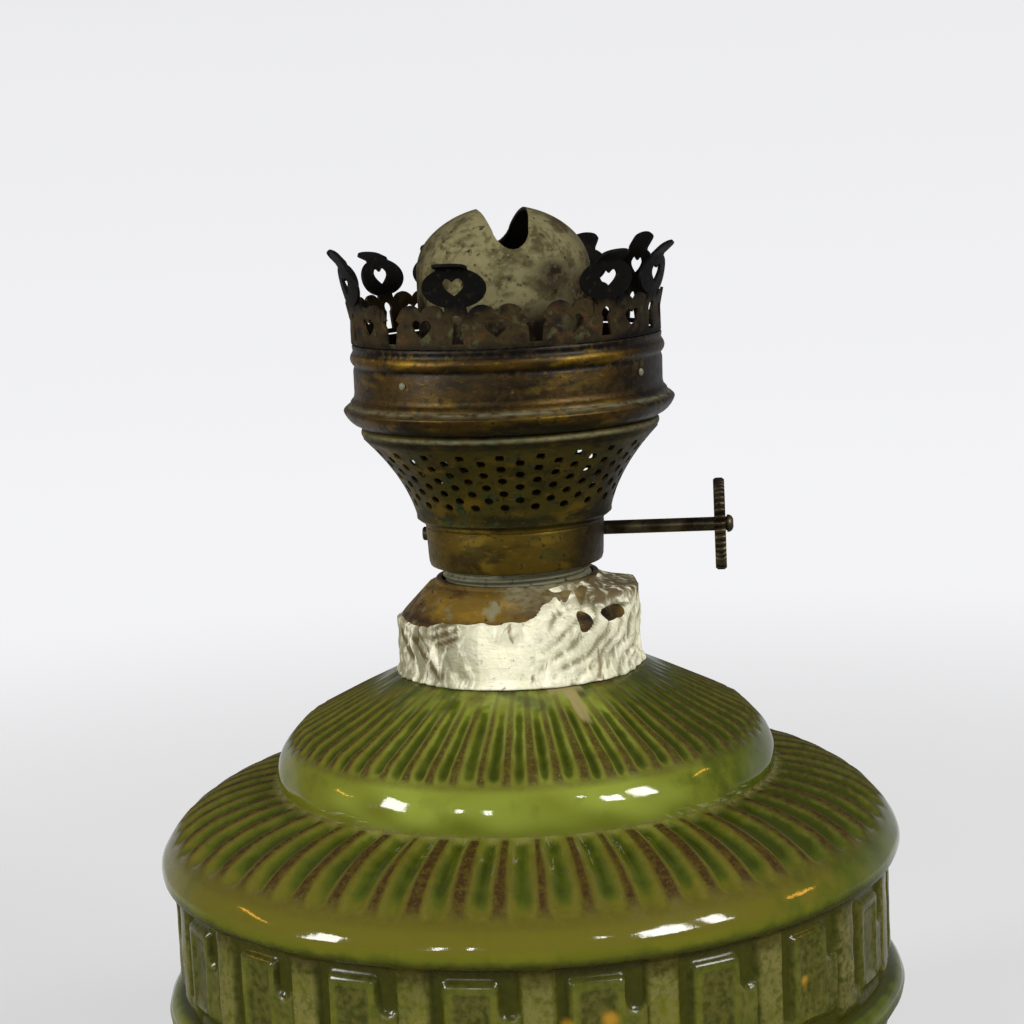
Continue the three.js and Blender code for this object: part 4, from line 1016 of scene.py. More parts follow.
        wash = eased(height + coarse, floor + 14.2, floor + 16.2) * eased(degrees, 24, 44)
        scraped = np.hypot((degrees + 38) / 12, (height - floor - 10.8) / 3.6) + 0.3 * rough
        scraped = 1 - eased(scraped, 0.7, 1.1)
        slant = height - 0.12 * (degrees + 38)
        scraped *= eased(np.cos(TURN / 1.9 * slant + 1.5 * coarse), -0.8, -0.1)
        dragged = np.zeros(len(radius))
        for start, end, low, high, wide in (
            (-68, -41, 11.8, 2.2, 1.1), (-76, -60, 9.5, 4, 0.8), (-58, -47, 12.5, 7, 0.7)
        ):
            share = np.clip((degrees - start) / (end - start), 0, 1)
            beyond = 0.4 * np.abs(degrees - start - (end - start) * share)
            off = np.hypot(height - floor - low - (high - low) * share, beyond)
            dragged = np.maximum(dragged, 1 - eased(off + 0.5 * rough, 0.5 * wide, 1.5 * wide))
        # Grey-green streaks away from the front, most on the left, and shadow painted grey in the troughs of
        # the strokes and the low parts of the flakes.
        stirred = 1 - near(degrees, -8, 18)
        streaks_and_shadow = (0.4 + 0.6 * (degrees < -20)) * stirred
        streaks_and_shadow += 0.8 * stirred * eased(-stroke - 0.5 * rough, 0.1, 0.8)
        mark(
            piece, thin=np.clip(wash + scraped + 1.1 * dragged, 0, 1.2),
            grey=np.clip(streaks_and_shadow + 0.35 * eased(-flake, 0.4, 1.0), 0, 1),
        )
        finish(piece, "lamp_base", "plaster", plaster, "plaster_bed", degrees=180)


# ---------------------------------------------------------------- burner


class LAMP_OT_burner(bpy.types.Operator):
    """Model the burner's threaded neck, drum, wick tube and wick"""

    bl_idname = "lamp.burner"
    bl_label = "Burner"

    def execute(self, context):
        sizes = context.scene.lamp_sizes
        made = lamp_materials(context.scene)
        self.roll_neck(sizes.thread_pitch / MM, sizes.thread_depth / MM, made["oxidised_brass"])
        self.spin_drum(made["tarnished_brass"])

        piece = self.stadium("brazed_wick_tube", "wick_tube", 18)
        modify(piece, "SOLIDIFY", thickness=0.5 * MM, offset=-1)
        soften(piece, 0.1)
        finish(piece, "burner", "aged_brass", made["blackened_brass"], "wick_tube")

        piece = self.stadium("cotton_wick", "wick", 60, closed=True)
        where = places(piece)
        x, _, z = where.T
        charred = eased(z, WICK_TOP - 2.5, WICK_TOP)
        where[:, 2] -= charred * (0.35 + 0.3 * np.cos(0.9 * x + 1) + 0.2 * np.cos(2.3 * x))
        where[:, 1] *= 1 - 0.12 * charred
        place(piece, where)
        finish(piece, "wick", "cotton", made["woven_cotton"], "wick")

        for node in ("tube_plate", "wheel_cover", "spindle_bush_right", "spindle_bush_left"):
            self.refinish(node, made["tarnished_brass"])
        for number in range(1, 5):
            self.refinish(f"feed_wheel_{number}", made["browned_steel"])
        return {"FINISHED"}

    @staticmethod
    def roll_neck(pitch, depth, brass):
        """The screw neck: a tube with a rolled, rounded thread that dies out at both ends."""
        bore = THREAD_RADIUS - 1.2
        count = 76
        step = (THREAD_TOP - THREAD_BOTTOM) / count
        points = [(bore, THREAD_BOTTOM)]
        points += [(THREAD_RADIUS, THREAD_BOTTOM + i * step) for i in range(count + 1)]
        points += [(bore, THREAD_TOP), (bore, THREAD_BOTTOM)]
        piece = turned("threaded_neck", points, 160)
        radius, azimuth, height = polar(places(piece))
        wave = 0.5 + 0.5 * np.cos(TURN * (height / pitch - azimuth / TURN))
        ends = eased(height - THREAD_BOTTOM, 0, 0.6) * eased(THREAD_TOP - height, 0, 0.6)
        radius = np.where(radius > bore + 0.5, radius - depth * wave**0.8 * ends, radius)
        place(piece, ringed(radius, azimuth, height))
        finish(piece, "screw_ring", "grey_brass", brass, "burner_neck", degrees=60)

    @staticmethod
    def spin_drum(brass):
        """The drum: a spun cup with a beaded lip, and a hole on each side for the spindle's bushes."""
        wall, bore = DRUM_RADIUS - 0.5, THREAD_RADIUS - 0.7
        foot = DRUM_BOTTOM
        points = [(bore, foot), (wall - 1.2, foot), (wall - 0.25, foot + 0.4), (wall, foot + 1.2)]
        points += [(wall + 0.1, foot + 2.5), (wall + 0.12, foot + 2.8), (wall + 0.16, foot + 4)]
        points += [(DRUM_RADIUS - 0.1, DRUM_TOP - 1.6), (DRUM_RADIUS - 0.35, DRUM_TOP - 1.3)]
        points += [(DRUM_RADIUS, DRUM_TOP - 0.9), (DRUM_RADIUS, DRUM_TOP), (DRUM_RADIUS - 0.8, DRUM_TOP)]
        points += [(wall - 0.8, foot + 1.4), (wall - 1.4, foot + 0.8), (bore, foot + 0.8), (bore, foot)]
        piece = turned("spun_drum", points, 144)
        deselect()
        bpy.ops.mesh.primitive_cylinder_add(
            vertices=32, radius=2.8 * MM, depth=4 * DRUM_RADIUS * MM,
            location=(0, SPINDLE_Y * MM, SPINDLE_Z * MM), rotation=(0, math.pi / 2, 0),
        )
        cut(piece, bpy.context.object)
        soften(piece, 0.12)
        # Painted shade: the drum is darker on the side towards the knob.
        mark(piece, burnt=0.85 * knobward(polar(places(piece))[1], 0.35, 0.95))
        finish(piece, "burner", "aged_brass", brass, "burner_drum")

    @staticmethod
    def refinish(node, material):
        """Gives a solid that stays its finish."""
        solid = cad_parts[node]
        solid.data.materials.clear()
        solid.data.materials.append(material)

    @staticmethod
    def stadium(name, node, rows, closed=False):
        """An upright wall, or closed bar, over a flat oval with round ends, as large as a node."""
        half_wide, bottom, top = span(node)
        low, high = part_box(node)
        half_deep = (high.y - low.y) / 2 / MM
        deselect()
        fill = "NGON" if closed else "NOTHING"
        bpy.ops.mesh.primitive_circle_add(
            vertices=48, radius=half_deep * MM, fill_type=fill, location=(0, 0, bottom * MM)
        )
        piece = added(name)
        bpy.ops.object.transform_apply(location=True, rotation=True, scale=True)
        where = places(piece)
        where[:, 0] += np.sign(np.round(where[:, 0], 4)) * (half_wide - half_deep)
        place(piece, where)
        edit()
        rise = (top - bottom) * MM / rows
        for _ in range(rows):
            bpy.ops.mesh.extrude_region_move(TRANSFORM_OT_translate={"value": (0, 0, rise)})
        tidied()
        return piece


# ---------------------------------------------------------------- air basket


class LAMP_OT_basket(bpy.types.Operator):
    """Model the pierced air basket"""

    bl_idname = "lamp.basket"
    bl_label = "Air basket"

    columns, rows = 22, 9  # holes in a row, and rows, each half a cell on from the one below
    step = 1.7  # between rows
    flat_radius = 25  # where the rolled lattice keeps its width
    wide = math.pi * flat_radius / columns  # half the width of a hole's cell
    sides = 16  # of a hole
    margin = 3.6  # from the flare's foot to the lowest row

    def execute(self, context):
        path, flare = self.path()
        lengths = distances(path)
        piece = self.pierce(context.scene.lamp_sizes.air_hole / MM / 2)
        start = lengths[flare] + self.margin
        top = (self.rows - 1) * self.step
        self.widen(piece, lengths, start, -self.step, start - 1.3 * self.step)
        self.widen(piece, lengths, start, top + self.step, start + top + 1.3 * self.step)
        self.roll(piece, path, lengths, start)
        modify(piece, "SOLIDIFY", thickness=SHEET * MM, offset=0)
        _, azimuth, height = polar(places(piece))
        # Painted shade: darker towards the knob. The sheet is also darker along the crease at the foot of the
        # rim's bead.
        groove = 0.85 * near(height, BASKET_TOP - 6.5, 0.8)
        mark(
            piece, dusty=0.55 * near(height, BASKET_TOP - 5.3, 0.4),
            burnt=np.maximum(0.7 * knobward(azimuth, 0.6, 1.1), groove),
        )
        brass = lamp_materials(context.scene)["green_tarnished_brass"]
        finish(piece, "burner", "aged_brass", brass, "air_basket", degrees=45)
        return {"FINISHED"}

    @staticmethod
    def path():
        """The middle of the sheet from foot to rim, and the number of the point where its flare begins."""
        lip, waist = BASKET_BOTTOM + 1.2, DRUM_RADIUS + 1.7
        top = BASKET_TOP - 4.5
        rim = top - 2.2
        path = [(waist - 3.5, BASKET_BOTTOM), (waist - 0.5, BASKET_BOTTOM), (waist, BASKET_BOTTOM + 0.4)]
        flare = len(path)
        path += bend((waist, lip), (waist + 2.2, (lip + rim) / 2), (BASKET_RADIUS - 0.4, rim), 30)
        path += [(BASKET_RADIUS - 0.4, rim), (BASKET_RADIUS - 0.35, rim + 0.25)]
        path += bulged((BASKET_RADIUS - 0.45, rim + 0.3), (BASKET_RADIUS - 0.6, top - 0.2), 0.5, 6)
        path += [(BASKET_RADIUS - 0.7, top - 0.15), (BASKET_RADIUS - 0.95, top + 0.1)]
        path += [(BASKET_RADIUS - 0.95, BASKET_TOP)]
        return np.array(path) - [SHEET / 2, 0], flare

    def pierce(self, hole):
        """A flat lattice of round holes, each in a lozenge of sheet, made from one hole and its cell."""
        deselect()
        bpy.ops.mesh.primitive_circle_add(vertices=self.sides, radius=hole * MM, fill_type="NOTHING")
        piece = added("pierced_basket")
        bpy.ops.object.mode_set(mode="EDIT")
        bpy.ops.mesh.primitive_circle_add(vertices=self.sides, radius=self.wide * MM, fill_type="NOTHING")
        bpy.ops.object.mode_set(mode="OBJECT")
        where = places(piece)
        ring = np.arange(len(where)) >= self.sides
        turns = np.arctan2(where[ring, 1], where[ring, 0]) / TURN
        side = np.round(turns * self.sides).astype(int) % self.sides
        corner, share = np.divmod(side, self.sides // 4)
        tips = np.array([[self.wide, 0], [0, self.step], [-self.wide, 0], [0, -self.step]])
        here, there = tips[corner], tips[(corner + 1) % 4]
        where[ring, :2] = here + (there - here) * (share / (self.sides // 4))[:, None]
        place(piece, where)
        edit()
        bpy.ops.mesh.bridge_edge_loops()
        bpy.ops.object.mode_set(mode="OBJECT")
        mark(piece, rim_of_hole=np.hypot(*places(piece)[:, :2].T) < hole + 0.01)
        for count, across, along in (
            (2, self.wide, self.step), (self.columns, 2 * self.wide, 0),
            ((self.rows + 1) // 2, 0, 2 * self.step),
        ):
            modify(
                piece, "ARRAY", count=count, use_relative_offset=False, use_constant_offset=True,
                use_merge_vertices=False, constant_offset_displace=(across * MM, along * MM, 0),
            )
        where = places(piece)
        cell = np.arange(len(where)) // (2 * self.sides)
        middles = np.array([where[cell == k].mean(0) for k in range(cell[-1] + 1)])
        self.choose(piece, middles[cell, 1] > (self.rows - 0.5) * self.step)
        bpy.ops.object.mode_set(mode="EDIT")
        bpy.ops.mesh.delete(type="VERT")
        bpy.ops.mesh.select_all(action="SELECT")
        bpy.ops.mesh.remove_doubles(threshold=0.01 * MM)
        bpy.ops.object.mode_set(mode="OBJECT")
        return piece

    @staticmethod
    def choose(piece, chosen):
        """Selects some of a mesh's vertices."""
        bpy.ops.object.mode_set(mode="EDIT")
        bpy.ops.mesh.select_all(action="DESELECT")
        bpy.ops.object.mode_set(mode="OBJECT")
        piece.data.vertices.foreach_set("select", chosen)

    @staticmethod
    def rims(piece):
        """Whether each vertex is on the rim of a hole."""
        flags = np.empty(len(piece.data.vertices), np.float32)
        piece.data.attributes["rim_of_hole"].data.foreach_get("value", flags)
        return flags > 0.5

    def widen(self, piece, lengths, start, edge, border):
        """Carries the sheet on past its holes, from an edge to a border and over the rest of the path."""
        outward = 1 if edge > 0 else -1
        mesh = piece.data
        used = np.zeros(len(mesh.edges), int)
        of_face = np.empty(len(mesh.loops), int)
        mesh.loops.foreach_get("edge_index", of_face)
        np.add.at(used, of_face, 1)
        open_edges = np.nonzero(used == 1)[0]
        ends = np.array([mesh.edges[int(k)].vertices[:] for k in open_edges])
        where = places(piece)
        close = (outward * (where[ends, 1] - edge) > -1.001 * self.step - 0.01).all(1)
        upright = np.abs(where[ends[:, 0], 0] - where[ends[:, 1], 0]) < 1e-6
        bpy.ops.object.mode_set(mode="EDIT")
        bpy.ops.mesh.select_mode(type="EDGE")
        bpy.ops.mesh.select_all(action="DESELECT")
        bpy.ops.object.mode_set(mode="OBJECT")
        for k in open_edges[close & ~self.rims(piece)[ends].all(1) & ~upright]:
            mesh.edges[int(k)].select = True
        stops = [s for s in lengths[::outward] if outward * (s - border) > 0.2]
        for level in (border, *stops):
            bpy.ops.object.mode_set(mode="EDIT")
            bpy.ops.mesh.extrude_region_move(TRANSFORM_OT_translate={"value": (0, 0, 0)})
            bpy.ops.object.mode_set(mode="OBJECT")
            where = places(piece)
            chosen = np.zeros(len(where), bool)
            mesh.vertices.foreach_get("select", chosen)
            where[chosen, 1] = level - start
            place(piece, where)

    def roll(self, piece, path, lengths, start):
        """Rolls the flat sheet into the basket, and keeps its holes round where the basket is wider."""
        where = places(piece)
        along = where[:, 1] + start
        radius = np.interp(along, lengths, path[:, 0])
        height = np.interp(along, lengths, path[:, 1])
        row = np.round(where[:, 1] / self.step)
        middle = (2 * np.round((where[:, 0] / self.wide - row % 2) / 2) + row % 2) * self.wide
        round_hole = middle + (where[:, 0] - middle) * self.flat_radius / radius
        around = np.where(self.rims(piece), round_hole, where[:, 0])
        place(piece, ringed(radius, around / (2 * self.wide * self.columns) * TURN, height))
        take(piece)
        bpy.ops.object.mode_set(mode="EDIT")
        bpy.ops.mesh.select_mode(type="VERT")
        tidied(0.02)


# ---------------------------------------------------------------- winder


class LAMP_OT_winder(bpy.types.Operator):
    """Model the winder's spindle and milled knob"""

    bl_idname = "lamp.winder"
    bl_label = "Winder"

    def execute(self, context):
        steel = lamp_materials(context.scene)["browned_steel"]
        left, right = (corner.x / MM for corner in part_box("spindle"))
        knob_left, knob_right = KNOB_LOW.x / MM, KNOB_HIGH.x / MM
        points = [(0, left), (1.2, left), (1.5, left + 0.3), (1.5, knob_right + 0.3), (1.9, knob_right + 0.3)]
        points += [(1.9, right - 0.9), (1.55, right - 0.3), (0.9, right), (0, right)]
        piece = turned("winder_spindle", points, 40)
        self.lay_down(piece)
        soften(piece, 0.08)
        finish(piece, "winder", "dark_steel", steel, "spindle")

        half, rim = (knob_right - knob_left) / 2, KNOB_RADIUS
        side = [(1.8, half - 0.2), (3.6, half), (4.2, half - 0.55), (rim - 2.2, half - 0.55)]
        side += [(rim - 1.6, half), (rim - 0.4, half), (rim, half - 0.5)]
        points = [(r, -z) for r, z in side] + [(rim, 0)] + side[::-1] + [(1.8, 0.2 - half)]
        piece = turned("milled_knob", points, 320)
        radius, azimuth, height = polar(places(piece))
        teeth = 40
        milled = eased(radius, rim - 1.2, rim - 0.3) * (1 - np.abs(np.cos(teeth / 2 * azimuth))) ** 1.4
        place(piece, ringed(radius - 0.75 * milled, azimuth, height))
        self.lay_down(piece, (knob_left + knob_right) / 2)
        finish(piece, "winder", "dark_steel", steel, "winder_knob", degrees=50)
        return {"FINISHED"}

    @staticmethod
    def lay_down(piece, along=0.0):
        """Turns an upright piece to lie on the spindle's axis."""
        x, y, z = places(piece).T
        place(piece, np.stack([z + along, y + SPINDLE_Y, SPINDLE_Z - x], 1))


# ---------------------------------------------------------------- gallery

GROOVE = BAND_TOP - 4.6  # under the upper bead
WALL = BEAD_RADIUS - 2.5


class LAMP_OT_band(bpy.types.Operator):
    """Model the gallery's beaded band, its rivets and its pierced floor"""

    bl_idname = "lamp.band"
    bl_label = "Gallery band"

    def execute(self, context):
        made = lamp_materials(context.scene)
        self.spin_band(made["heat_browned_brass"])
        self.set_rivets(made["oxidised_brass"])
        self.pierce_floor(made["blackened_brass"])
        return {"FINISHED"}

    @staticmethod
    def spin_band(brass):
        """The band: a nosed lower bead, a plain wall, a round upper bead and a lip, a little dented."""
        lip = WALL - 0.9
        points = [(lip - SHEET, BAND_BOTTOM), (lip, BAND_BOTTOM), (lip + 0.35, BAND_BOTTOM + 0.25)]
        nose = (
            (1.25, 0.7), (1.95, 1.25), (2.6, 2.0), (3.05, 2.7), (3.3, 3.2), (3.38, 3.55), (3.25, 3.85),
            (2.8, 4.25), (2.35, 4.6), (2.0, 4.85), (1.9, 5.05), (1.78, 5.4), (1.5, 5.75), (1.25, 6.0),
            (1.12, 6.2),
        )
        points += [(lip + out, BAND_BOTTOM + up) for out, up in nose]
        points += [(WALL + 0.05, GROOVE - 6.1), (WALL, GROOVE - 5.6), (WALL, GROOVE - 1.0)]
        points += [(WALL - 0.1, GROOVE - 0.6), (WALL - 0.25, GROOVE - 0.1)]
        points += bulged((WALL - 0.15, GROOVE + 0.2), (WALL - 0.1, GROOVE + 3.0), 0.66, 12)
        points += [(WALL - 0.15, GROOVE + 3.3), (WALL - 0.05, GROOVE + 3.8), (WALL, BAND_TOP - 0.3)]
        points += [(WALL - 0.15, BAND_TOP), (WALL - SHEET, BAND_TOP), (WALL - SHEET, GROOVE - 6.7)]
        points += bulged((lip - SHEET, BAND_BOTTOM + 1), (WALL - SHEET, GROOVE - 6.9), 2.2, 12)[::-1]
        points.append(points[0])
        piece = turned("beaded_band", points, 192)
        radius, azimuth, height = polar(places(piece))
        dent = 0.14 * ripple(azimuth, height, 21, 12, 7, 0.3)
        room = np.maximum(0, BEAD_RADIUS - radius)
        place(piece, ringed(radius + np.minimum(dent, room), azimuth, height))

        # Darker in the groove under the upper bead, in the corner above the lower bead, above the upper bead
        # and on the lower bead. There is a painted shadow line along the foot, where the band meets the
        # basket, and painted shade towards the knob. Tarnish lies in cloudy patches, most of them on the
        # front.
        burnt = 0.9 * near(height, GROOVE - 0.2, 0.8) + 0.95 * eased(height, GROOVE + 2.3, GROOVE + 3.0)
        burnt += 0.6 * near(height, GROOVE - 5.6, 0.8) + 0.8 * near(height, BAND_BOTTOM, 1.0)
        cloudy = 0.5 + 0.8 * ripple(azimuth, height, 22, 14, 9, 1.2)
        burnt += 0.75 * knobward(azimuth, 0.6, 1.1) + 0.55 * near(azimuth, VIEW, 0.32) * cloudy
        burnt += 0.22 * cloudy * (height > GROOVE - 5) + 0.42 * (height < GROOVE - 6.2)
        dusty = 0.8 * near(height, BAND_BOTTOM + 4.6, 0.35) * (height < GROOVE - 6.4)
        mark(piece, burnt=np.clip(burnt, 0, 1), dusty=dusty)
        finish(piece, "gallery", "dark_brass", brass, "gallery_band", degrees=55)

    @staticmethod
    def set_rivets(brass):
        """Four domed rivets in the band's wall."""
        points = [(0, -0.9), (0.5, -0.9), (0.5, 0), (0.8, 0), (0.78, 0.16), (0.6, 0.32), (0.32, 0.4)]
        points.append((0, 0.43))
        for number, degrees in enumerate((-36, 61, 144, -119), 1):
            piece = turned(f"rivet_{number}", points, 20)
            x, y, z = places(piece).T
            a = math.radians(degrees)
            out = WALL + 0.05 + z
            across, inward = out * math.sin(a) + x * math.cos(a), -out * math.cos(a) + x * math.sin(a)
            place(piece, np.stack([across, inward, GROOVE - 2.6 + y], 1))
            finish(piece, "gallery", "grey_brass", brass, f"band_rivet_{number}", degrees=60)

    @staticmethod
    def pierce_floor(brass):
        """The gallery's floor: a spigot and a ledge for the dome, and a deck with a ring of air holes."""
        spigot, ledge = DOME_RADIUS - 0.9, DOME_RADIUS + 0.5  # where the dome fits over, and where it stands
        deck, holes = FLOOR_TOP - 3.9, 16
        points = [
            (spigot - 0.8, deck - 1.4), (ledge + 0.8, deck - 1.4), (ledge + 0.8, deck - 0.8),
            (FLOOR_RADIUS - 0.6, deck - 0.8), (FLOOR_RADIUS - 0.6, FLOOR_BOTTOM),
            (FLOOR_RADIUS, FLOOR_BOTTOM), (FLOOR_RADIUS, deck), (ledge, deck), (ledge, deck - 0.6),
            (spigot, deck - 0.6), (spigot, FLOOR_TOP), (spigot - 0.8, FLOOR_TOP), (spigot - 0.8, deck - 1.4),
        ]
        piece = turned("pierced_gallery_floor", points, 128)
        punches = []
        middle = (DOME_RADIUS + FLOOR_RADIUS + 0.3) / 2 * MM
        for k in range(holes):
            a = (k + 0.5) * TURN / holes
            deselect()
            bpy.ops.mesh.primitive_cylinder_add(
                vertices=20, radius=1.2 * MM, depth=4 * MM,
                location=(middle * math.sin(a), -middle * math.cos(a), deck * MM),
            )
            punches.append(bpy.context.object)
        cut(piece, joined(punches))
        soften(piece, 0.12)
        finish(piece, "gallery", "dark_brass", brass, "gallery_floor")


# ---------------------------------------------------------------- coronet


def heart(x, y, wide=4.6, tall=3.8):
    """A heart's outline about a point."""
    w, h = wide / 2, tall / 2
    points = bend((x, y - h), (x + 1.1 * w, y - 0.1 * h), (x + w, y + 0.45 * h), 6)
    points += bend((x + w, y + 0.45 * h), (x + 0.6 * w, y + 1.4 * h), (x, y + 0.55 * h), 7)
    points += bend((x, y + 0.55 * h), (x - 0.6 * w, y + 1.4 * h), (x - w, y + 0.45 * h), 7)
    points += bend((x - w, y + 0.45 * h), (x - 1.1 * w, y - 0.1 * h), (x, y - h), 6)
    return points


class LAMP_OT_coronet(bpy.types.Operator):
    """Model the stamped coronet, with its pierced teeth and bent fingers"""

    bl_idname = "lamp.coronet"
    bl_label = "Coronet"

    def execute(self, context):
        count, first = 13, math.radians(-12.3)
        # Heights on the flat sheet: where a finger bends, the middle of its disc, and where its tab bends.
        foot, disc, tab = 5, 12.5, 16.6
        # The lean of each finger that is left and of its tab, in degrees. The others are torn off.
        fingers = {
            0: (11, 78), 2: (10, 62), 3: (12, 50), 5: (12, 38), 6: (11, 42), 7: (12, 52), 8: (13, 58),
            9: (13, 70), 10: (12, 42), 11: (11, 30),
        }
        pitch = TURN * WALL / count
        whole = self.flat("coronet_pitch", pitch, disc, False)
        torn = self.flat("coronet_torn_pitch", pitch, disc, True)
        copies = []
        for k in range(count):
            source = whole if k in fingers else torn
            copy = source.copy()
            copy.data = source.data.copy()
            context.collection.objects.link(copy)
            lean, bent = (math.radians(degrees) for degrees in fingers.get(k, (0, 0)))
            x, y, _ = places(copy).T
            low, middle, top = np.minimum(y, foot), np.clip(y, foot, tab) - foot, np.maximum(0, y - tab)
            radius = WALL - SHEET / 2 + 0.1 + middle * math.sin(lean) + top * math.sin(bent)
            height = CORONET_BOTTOM + low + middle * math.cos(lean) + top * math.cos(bent)
            finger = eased(y, 7.5, 11) * (np.abs(x) < 7)
            spread = np.where(finger > 0, (WALL / radius) ** finger, 1)
            azimuth = first + (k + x * spread / pitch) * TURN / count
            place(copy, ringed(radius, azimuth, height))
            # Darker on the fingers and along the foot, with painted shade towards the knob.
            dark = 1.2 * eased(y, 6.5, 9.5) * (np.abs(x) < 7) + 0.7 * (1 - eased(y, 0.3, 1.2))
            seen = azimuth - VIEW
            mark(copy, burnt=dark + 0.5 * eased(seen, 0.5, 1.0) * (seen < 2.4))
            copies.append(copy)
        for source in (whole, torn):
            bpy.data.objects.remove(source)
        piece = joined(copies)
        piece.name = piece.data.name = "stamped_coronet"
        edit()
        tidied(0.03)
        modify(piece, "SOLIDIFY", thickness=SHEET * MM, offset=0)
        soften(piece, 0.09, 1, 60)
        finish(piece, "gallery", "dark_brass", lamp_materials(context.scene)["blackened_brass"], "coronet")
        return {"FINISHED"}

    @staticmethod
    def flat(name, pitch, disc, torn):
        """One pitch of the coronet laid flat, cut finely enough to be rolled."""
        tooth, lobe, offset, lobe_y = pitch / 2, 3.1, 2.7, 5.8
        side = tooth + offset + 0.7 * lobe
        side_angle = math.degrees(math.acos(0.7))
        valley = math.degrees(math.acos(offset / lobe))
        notch = tooth - offset + lobe * math.cos(math.radians(155))
        line = [(side - pitch, 0), (side, 0)]
        line += arc(tooth + offset, lobe_y, lobe, side_angle, 180 - valley, 12)
        line += arc(tooth - offset, lobe_y, lobe, valley, 155, 12)[1:]
        holes = [heart(tooth, 4.1)]
        if torn:
            line += [(notch - 0.9, 5.9), (2.4, 5.2), (1.7, 4.3), (1.3, 1.0), (-1.3, 1.0), (-1.5, 4.0)]
            line += [(-2.6, 5.6), (0.9 - notch, 5.7)]
        else:
            wide, tall, tab = 6.8, 4.15, 3.3  # half sizes of the disc and the tab
            neck = math.degrees(math.acos(2.2 / wide))
            joint = math.degrees(math.acos(tab / wide))
            line += arc(0, disc, wide, -neck, joint, 18, tall / wide)
            line += [(tab, 17.6), (tab, 19.0), *arc(0, 19.0, tab, 0, 180, 12, 0.5)[1:], (-tab, 17.6)]
            line += arc(0, disc, wide, 180 - joint, 180 + neck, 18, tall / wide)
            holes.append(heart(0, 12.7))
            keyhole = [(-1.3, 1.0), (1.3, 1.0), (0.72, 4.74), *arc(0, 5.7, 1.2, -53, 233, 14)]
            holes.append([*keyhole, (-0.72, 4.74)])
        line += arc(offset - tooth, lobe_y, lobe, 25, side_angle, 4)
        curve = bpy.data.curves.new(name, "CURVE")
        curve.dimensions, curve.fill_mode = "2D", "BOTH"
        for points in (line, *holes):
            spline = curve.splines.new("POLY")
            spline.points.add(len(points) - 1)
            spline.points.foreach_set("co", np.array([(x * MM, y * MM, 0, 1) for x, y in points]).ravel())
            spline.use_cyclic_u = True
        piece = bpy.data.objects.new(name, curve)
        bpy.context.collection.objects.link(piece)
        take(piece)
        bpy.ops.object.convert(target="MESH")
        edit()
        bpy.ops.mesh.remove_doubles(threshold=0.01 * MM)
        bpy.ops.mesh.select_all(action="SELECT")
        bpy.ops.mesh.tris_convert_to_quads()
        cuts = [((side - pitch + pitch * i / 12, 0, 0), (1, 0, 0)) for i in range(1, 12)]
        cuts += [((0, y, 0), (0, 1, 0)) for y in (2.5, 5, 7, 9, 11, 13, 15, 16.2, 16.8, 17.4, 18.6, 19.6)]
        for where, normal in cuts:
            bpy.ops.mesh.select_all(action="SELECT")
            bpy.ops.mesh.bisect(plane_co=[c * MM for c in where], plane_no=normal)
        bpy.ops.object.mode_set(mode="OBJECT")
        return bpy.context.object


# ---------------------------------------------------------------- dome


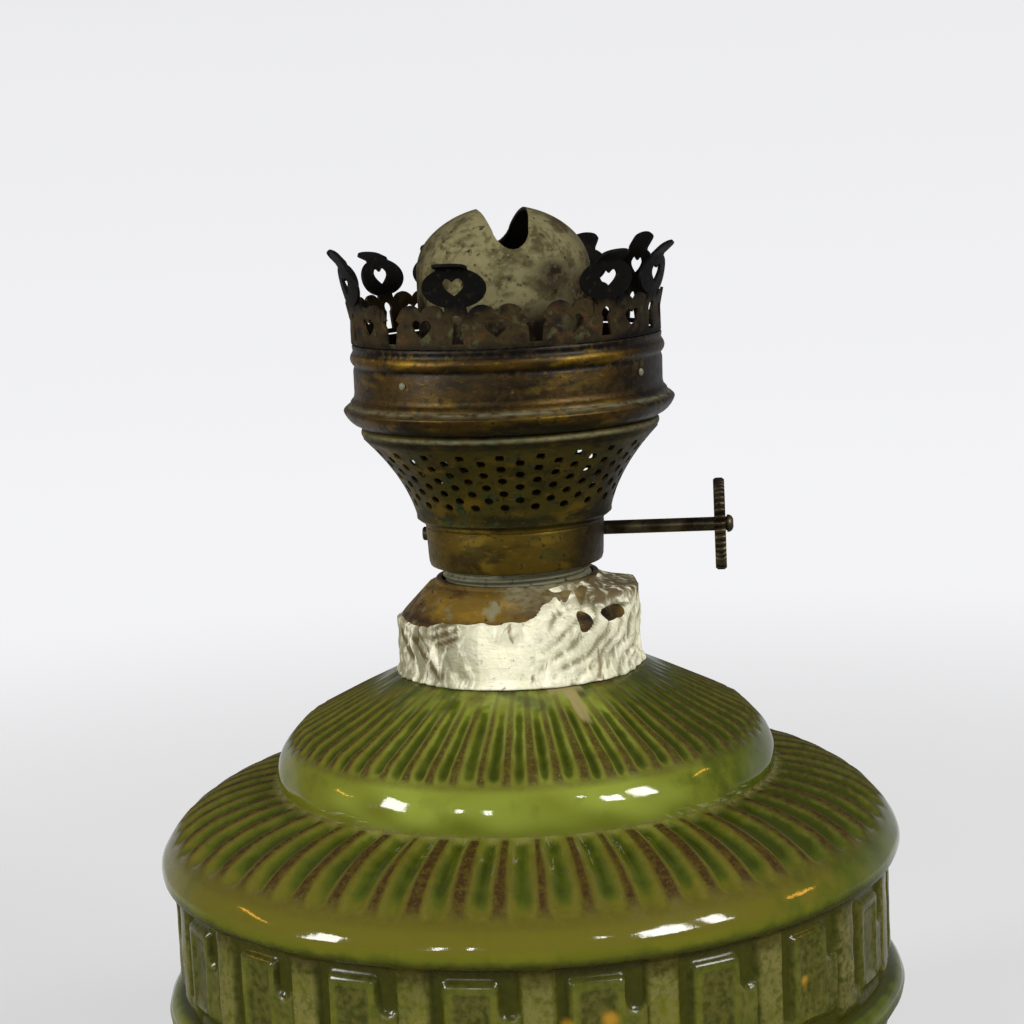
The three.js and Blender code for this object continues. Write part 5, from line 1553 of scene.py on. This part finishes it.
class LAMP_OT_dome(bpy.types.Operator):
    """Model the slotted flame dome"""

    bl_idname = "lamp.dome"
    bl_label = "Flame dome"

    def execute(self, context):
        wall, rise = 17.8, 13.7  # heights of the upright wall and of the dome on it
        spring = DOME_BOTTOM + wall
        inner = DOME_RADIUS - SHEET
        points = [(inner, DOME_BOTTOM), (DOME_RADIUS, DOME_BOTTOM)]
        points += [(DOME_RADIUS, DOME_BOTTOM + wall * i / 7) for i in range(1, 7)]
        points += [(r, spring + z) for r, z in arc(0, 0, DOME_RADIUS, 0, 90, 26, rise / DOME_RADIUS)]
        points += [(r, spring + z) for r, z in arc(0, 0, inner, 90, 0, 26, (rise - SHEET) / inner)]
        points.append((inner, DOME_BOTTOM))
        piece = turned("slotted_dome", points, 128)
        cut(piece, self.slot(spring))
        soften(piece, 0.12)
        radius, azimuth, height = polar(places(piece))
        dent = 0.2 * np.abs(ripple(azimuth, height, 31, 14, 6, 0.3))
        place(piece, ringed(radius - dent, azimuth, height))

        seen, up = azimuth - VIEW, height - DOME_BOTTOM
        # Dark patches, a dark top and a darker lower wall. It is darker towards both sides, which is painted
        # shade, and the inside is near black.
        charred = 1.1 * near(seen, 0.6, 0.22) * near(up, 17.5, 3.2)
        charred += 0.9 * near(seen, 1.05, 0.35) * near(up, 13, 4.5)
        charred += 0.5 * eased(np.abs(seen), 0.7, 1.4) + 0.6 * near(radius, 0, 6)
        charred += (1 - eased(up, 8, 12)) * (1 - 0.8 * near(seen, 0.75, 0.2))
        outer = np.hypot(radius, np.maximum(0, height - spring) * DOME_RADIUS / rise) > DOME_RADIUS - 0.45
        mark(piece, burnt=np.where(outer, np.clip(charred, 0, 1), 2.5))
        brass = lamp_materials(context.scene)["heat_dulled_brass"]
        finish(piece, "dome", "sooted_brass", brass, "dome_cap")
        return {"FINISHED"}

    @staticmethod
    def slot(spring):
        """An upright punch for the flame slot, with curved sides and round ends, and turned a little."""
        half_long, end, half_wide = 17.2, 3.8, 5.2
        turn = math.radians(13)
        side = half_long - end
        line = bend((end, -side), (2 * half_wide - end, 0), (end, side), 14)
        line += arc(0, side, end, 0, 180, 12)[:-1]
        line += bend((-end, side), (end - 2 * half_wide, 0), (-end, -side), 14)
        line += arc(0, -side, end, 180, 360, 12)[:-1]
        deselect()
        bpy.ops.mesh.primitive_circle_add(vertices=len(line), radius=MM, fill_type="NGON")
        punch = bpy.context.object
        x, y = np.array(line).T
        across, inward = x * math.cos(turn) - y * math.sin(turn), x * math.sin(turn) + y * math.cos(turn)
        place(punch, np.stack([across, inward, spring + 0 * x], 1))
        edit()
        bpy.ops.mesh.extrude_region_move(TRANSFORM_OT_translate={"value": (0, 0, 2 * DOME_RADIUS * MM)})
        tidied()
        return punch


# ---------------------------------------------------------------- panel and running


OPERATORS = (
    LAMP_OT_stage, LAMP_OT_font, LAMP_OT_collar, LAMP_OT_burner, LAMP_OT_basket, LAMP_OT_winder, LAMP_OT_band,
    LAMP_OT_coronet, LAMP_OT_dome,
)


class LAMP_PT_panel(bpy.types.Panel):
    """Lists the lamp's sizes, colours and pieces"""

    bl_idname = "LAMP_PT_panel"
    bl_label = "Oil Lamp"
    bl_space_type = "VIEW_3D"
    bl_region_type = "UI"
    bl_category = "Oil Lamp"

    def draw(self, context):
        for group in (context.scene.lamp_sizes, context.scene.lamp_colours):
            box = self.layout.box()
            for name in group.__annotations__:
                box.prop(group, name)
        for operator in OPERATORS:
            self.layout.operator(operator.bl_idname)


CLASSES = (LampSizes, LampColours, *OPERATORS, LAMP_PT_panel)


def register():
    for cls in CLASSES:
        bpy.utils.register_class(cls)
    bpy.types.Scene.lamp_sizes = bpy.props.PointerProperty(type=LampSizes)
    bpy.types.Scene.lamp_colours = bpy.props.PointerProperty(type=LampColours)


def unregister():
    del bpy.types.Scene.lamp_sizes
    del bpy.types.Scene.lamp_colours
    for cls in reversed(CLASSES):
        bpy.utils.unregister_class(cls)


def main():
    register()
    for operator in OPERATORS:
        group, name = operator.bl_idname.split(".")
        getattr(getattr(bpy.ops, group), name)()


if __name__ == "__main__":
    main()
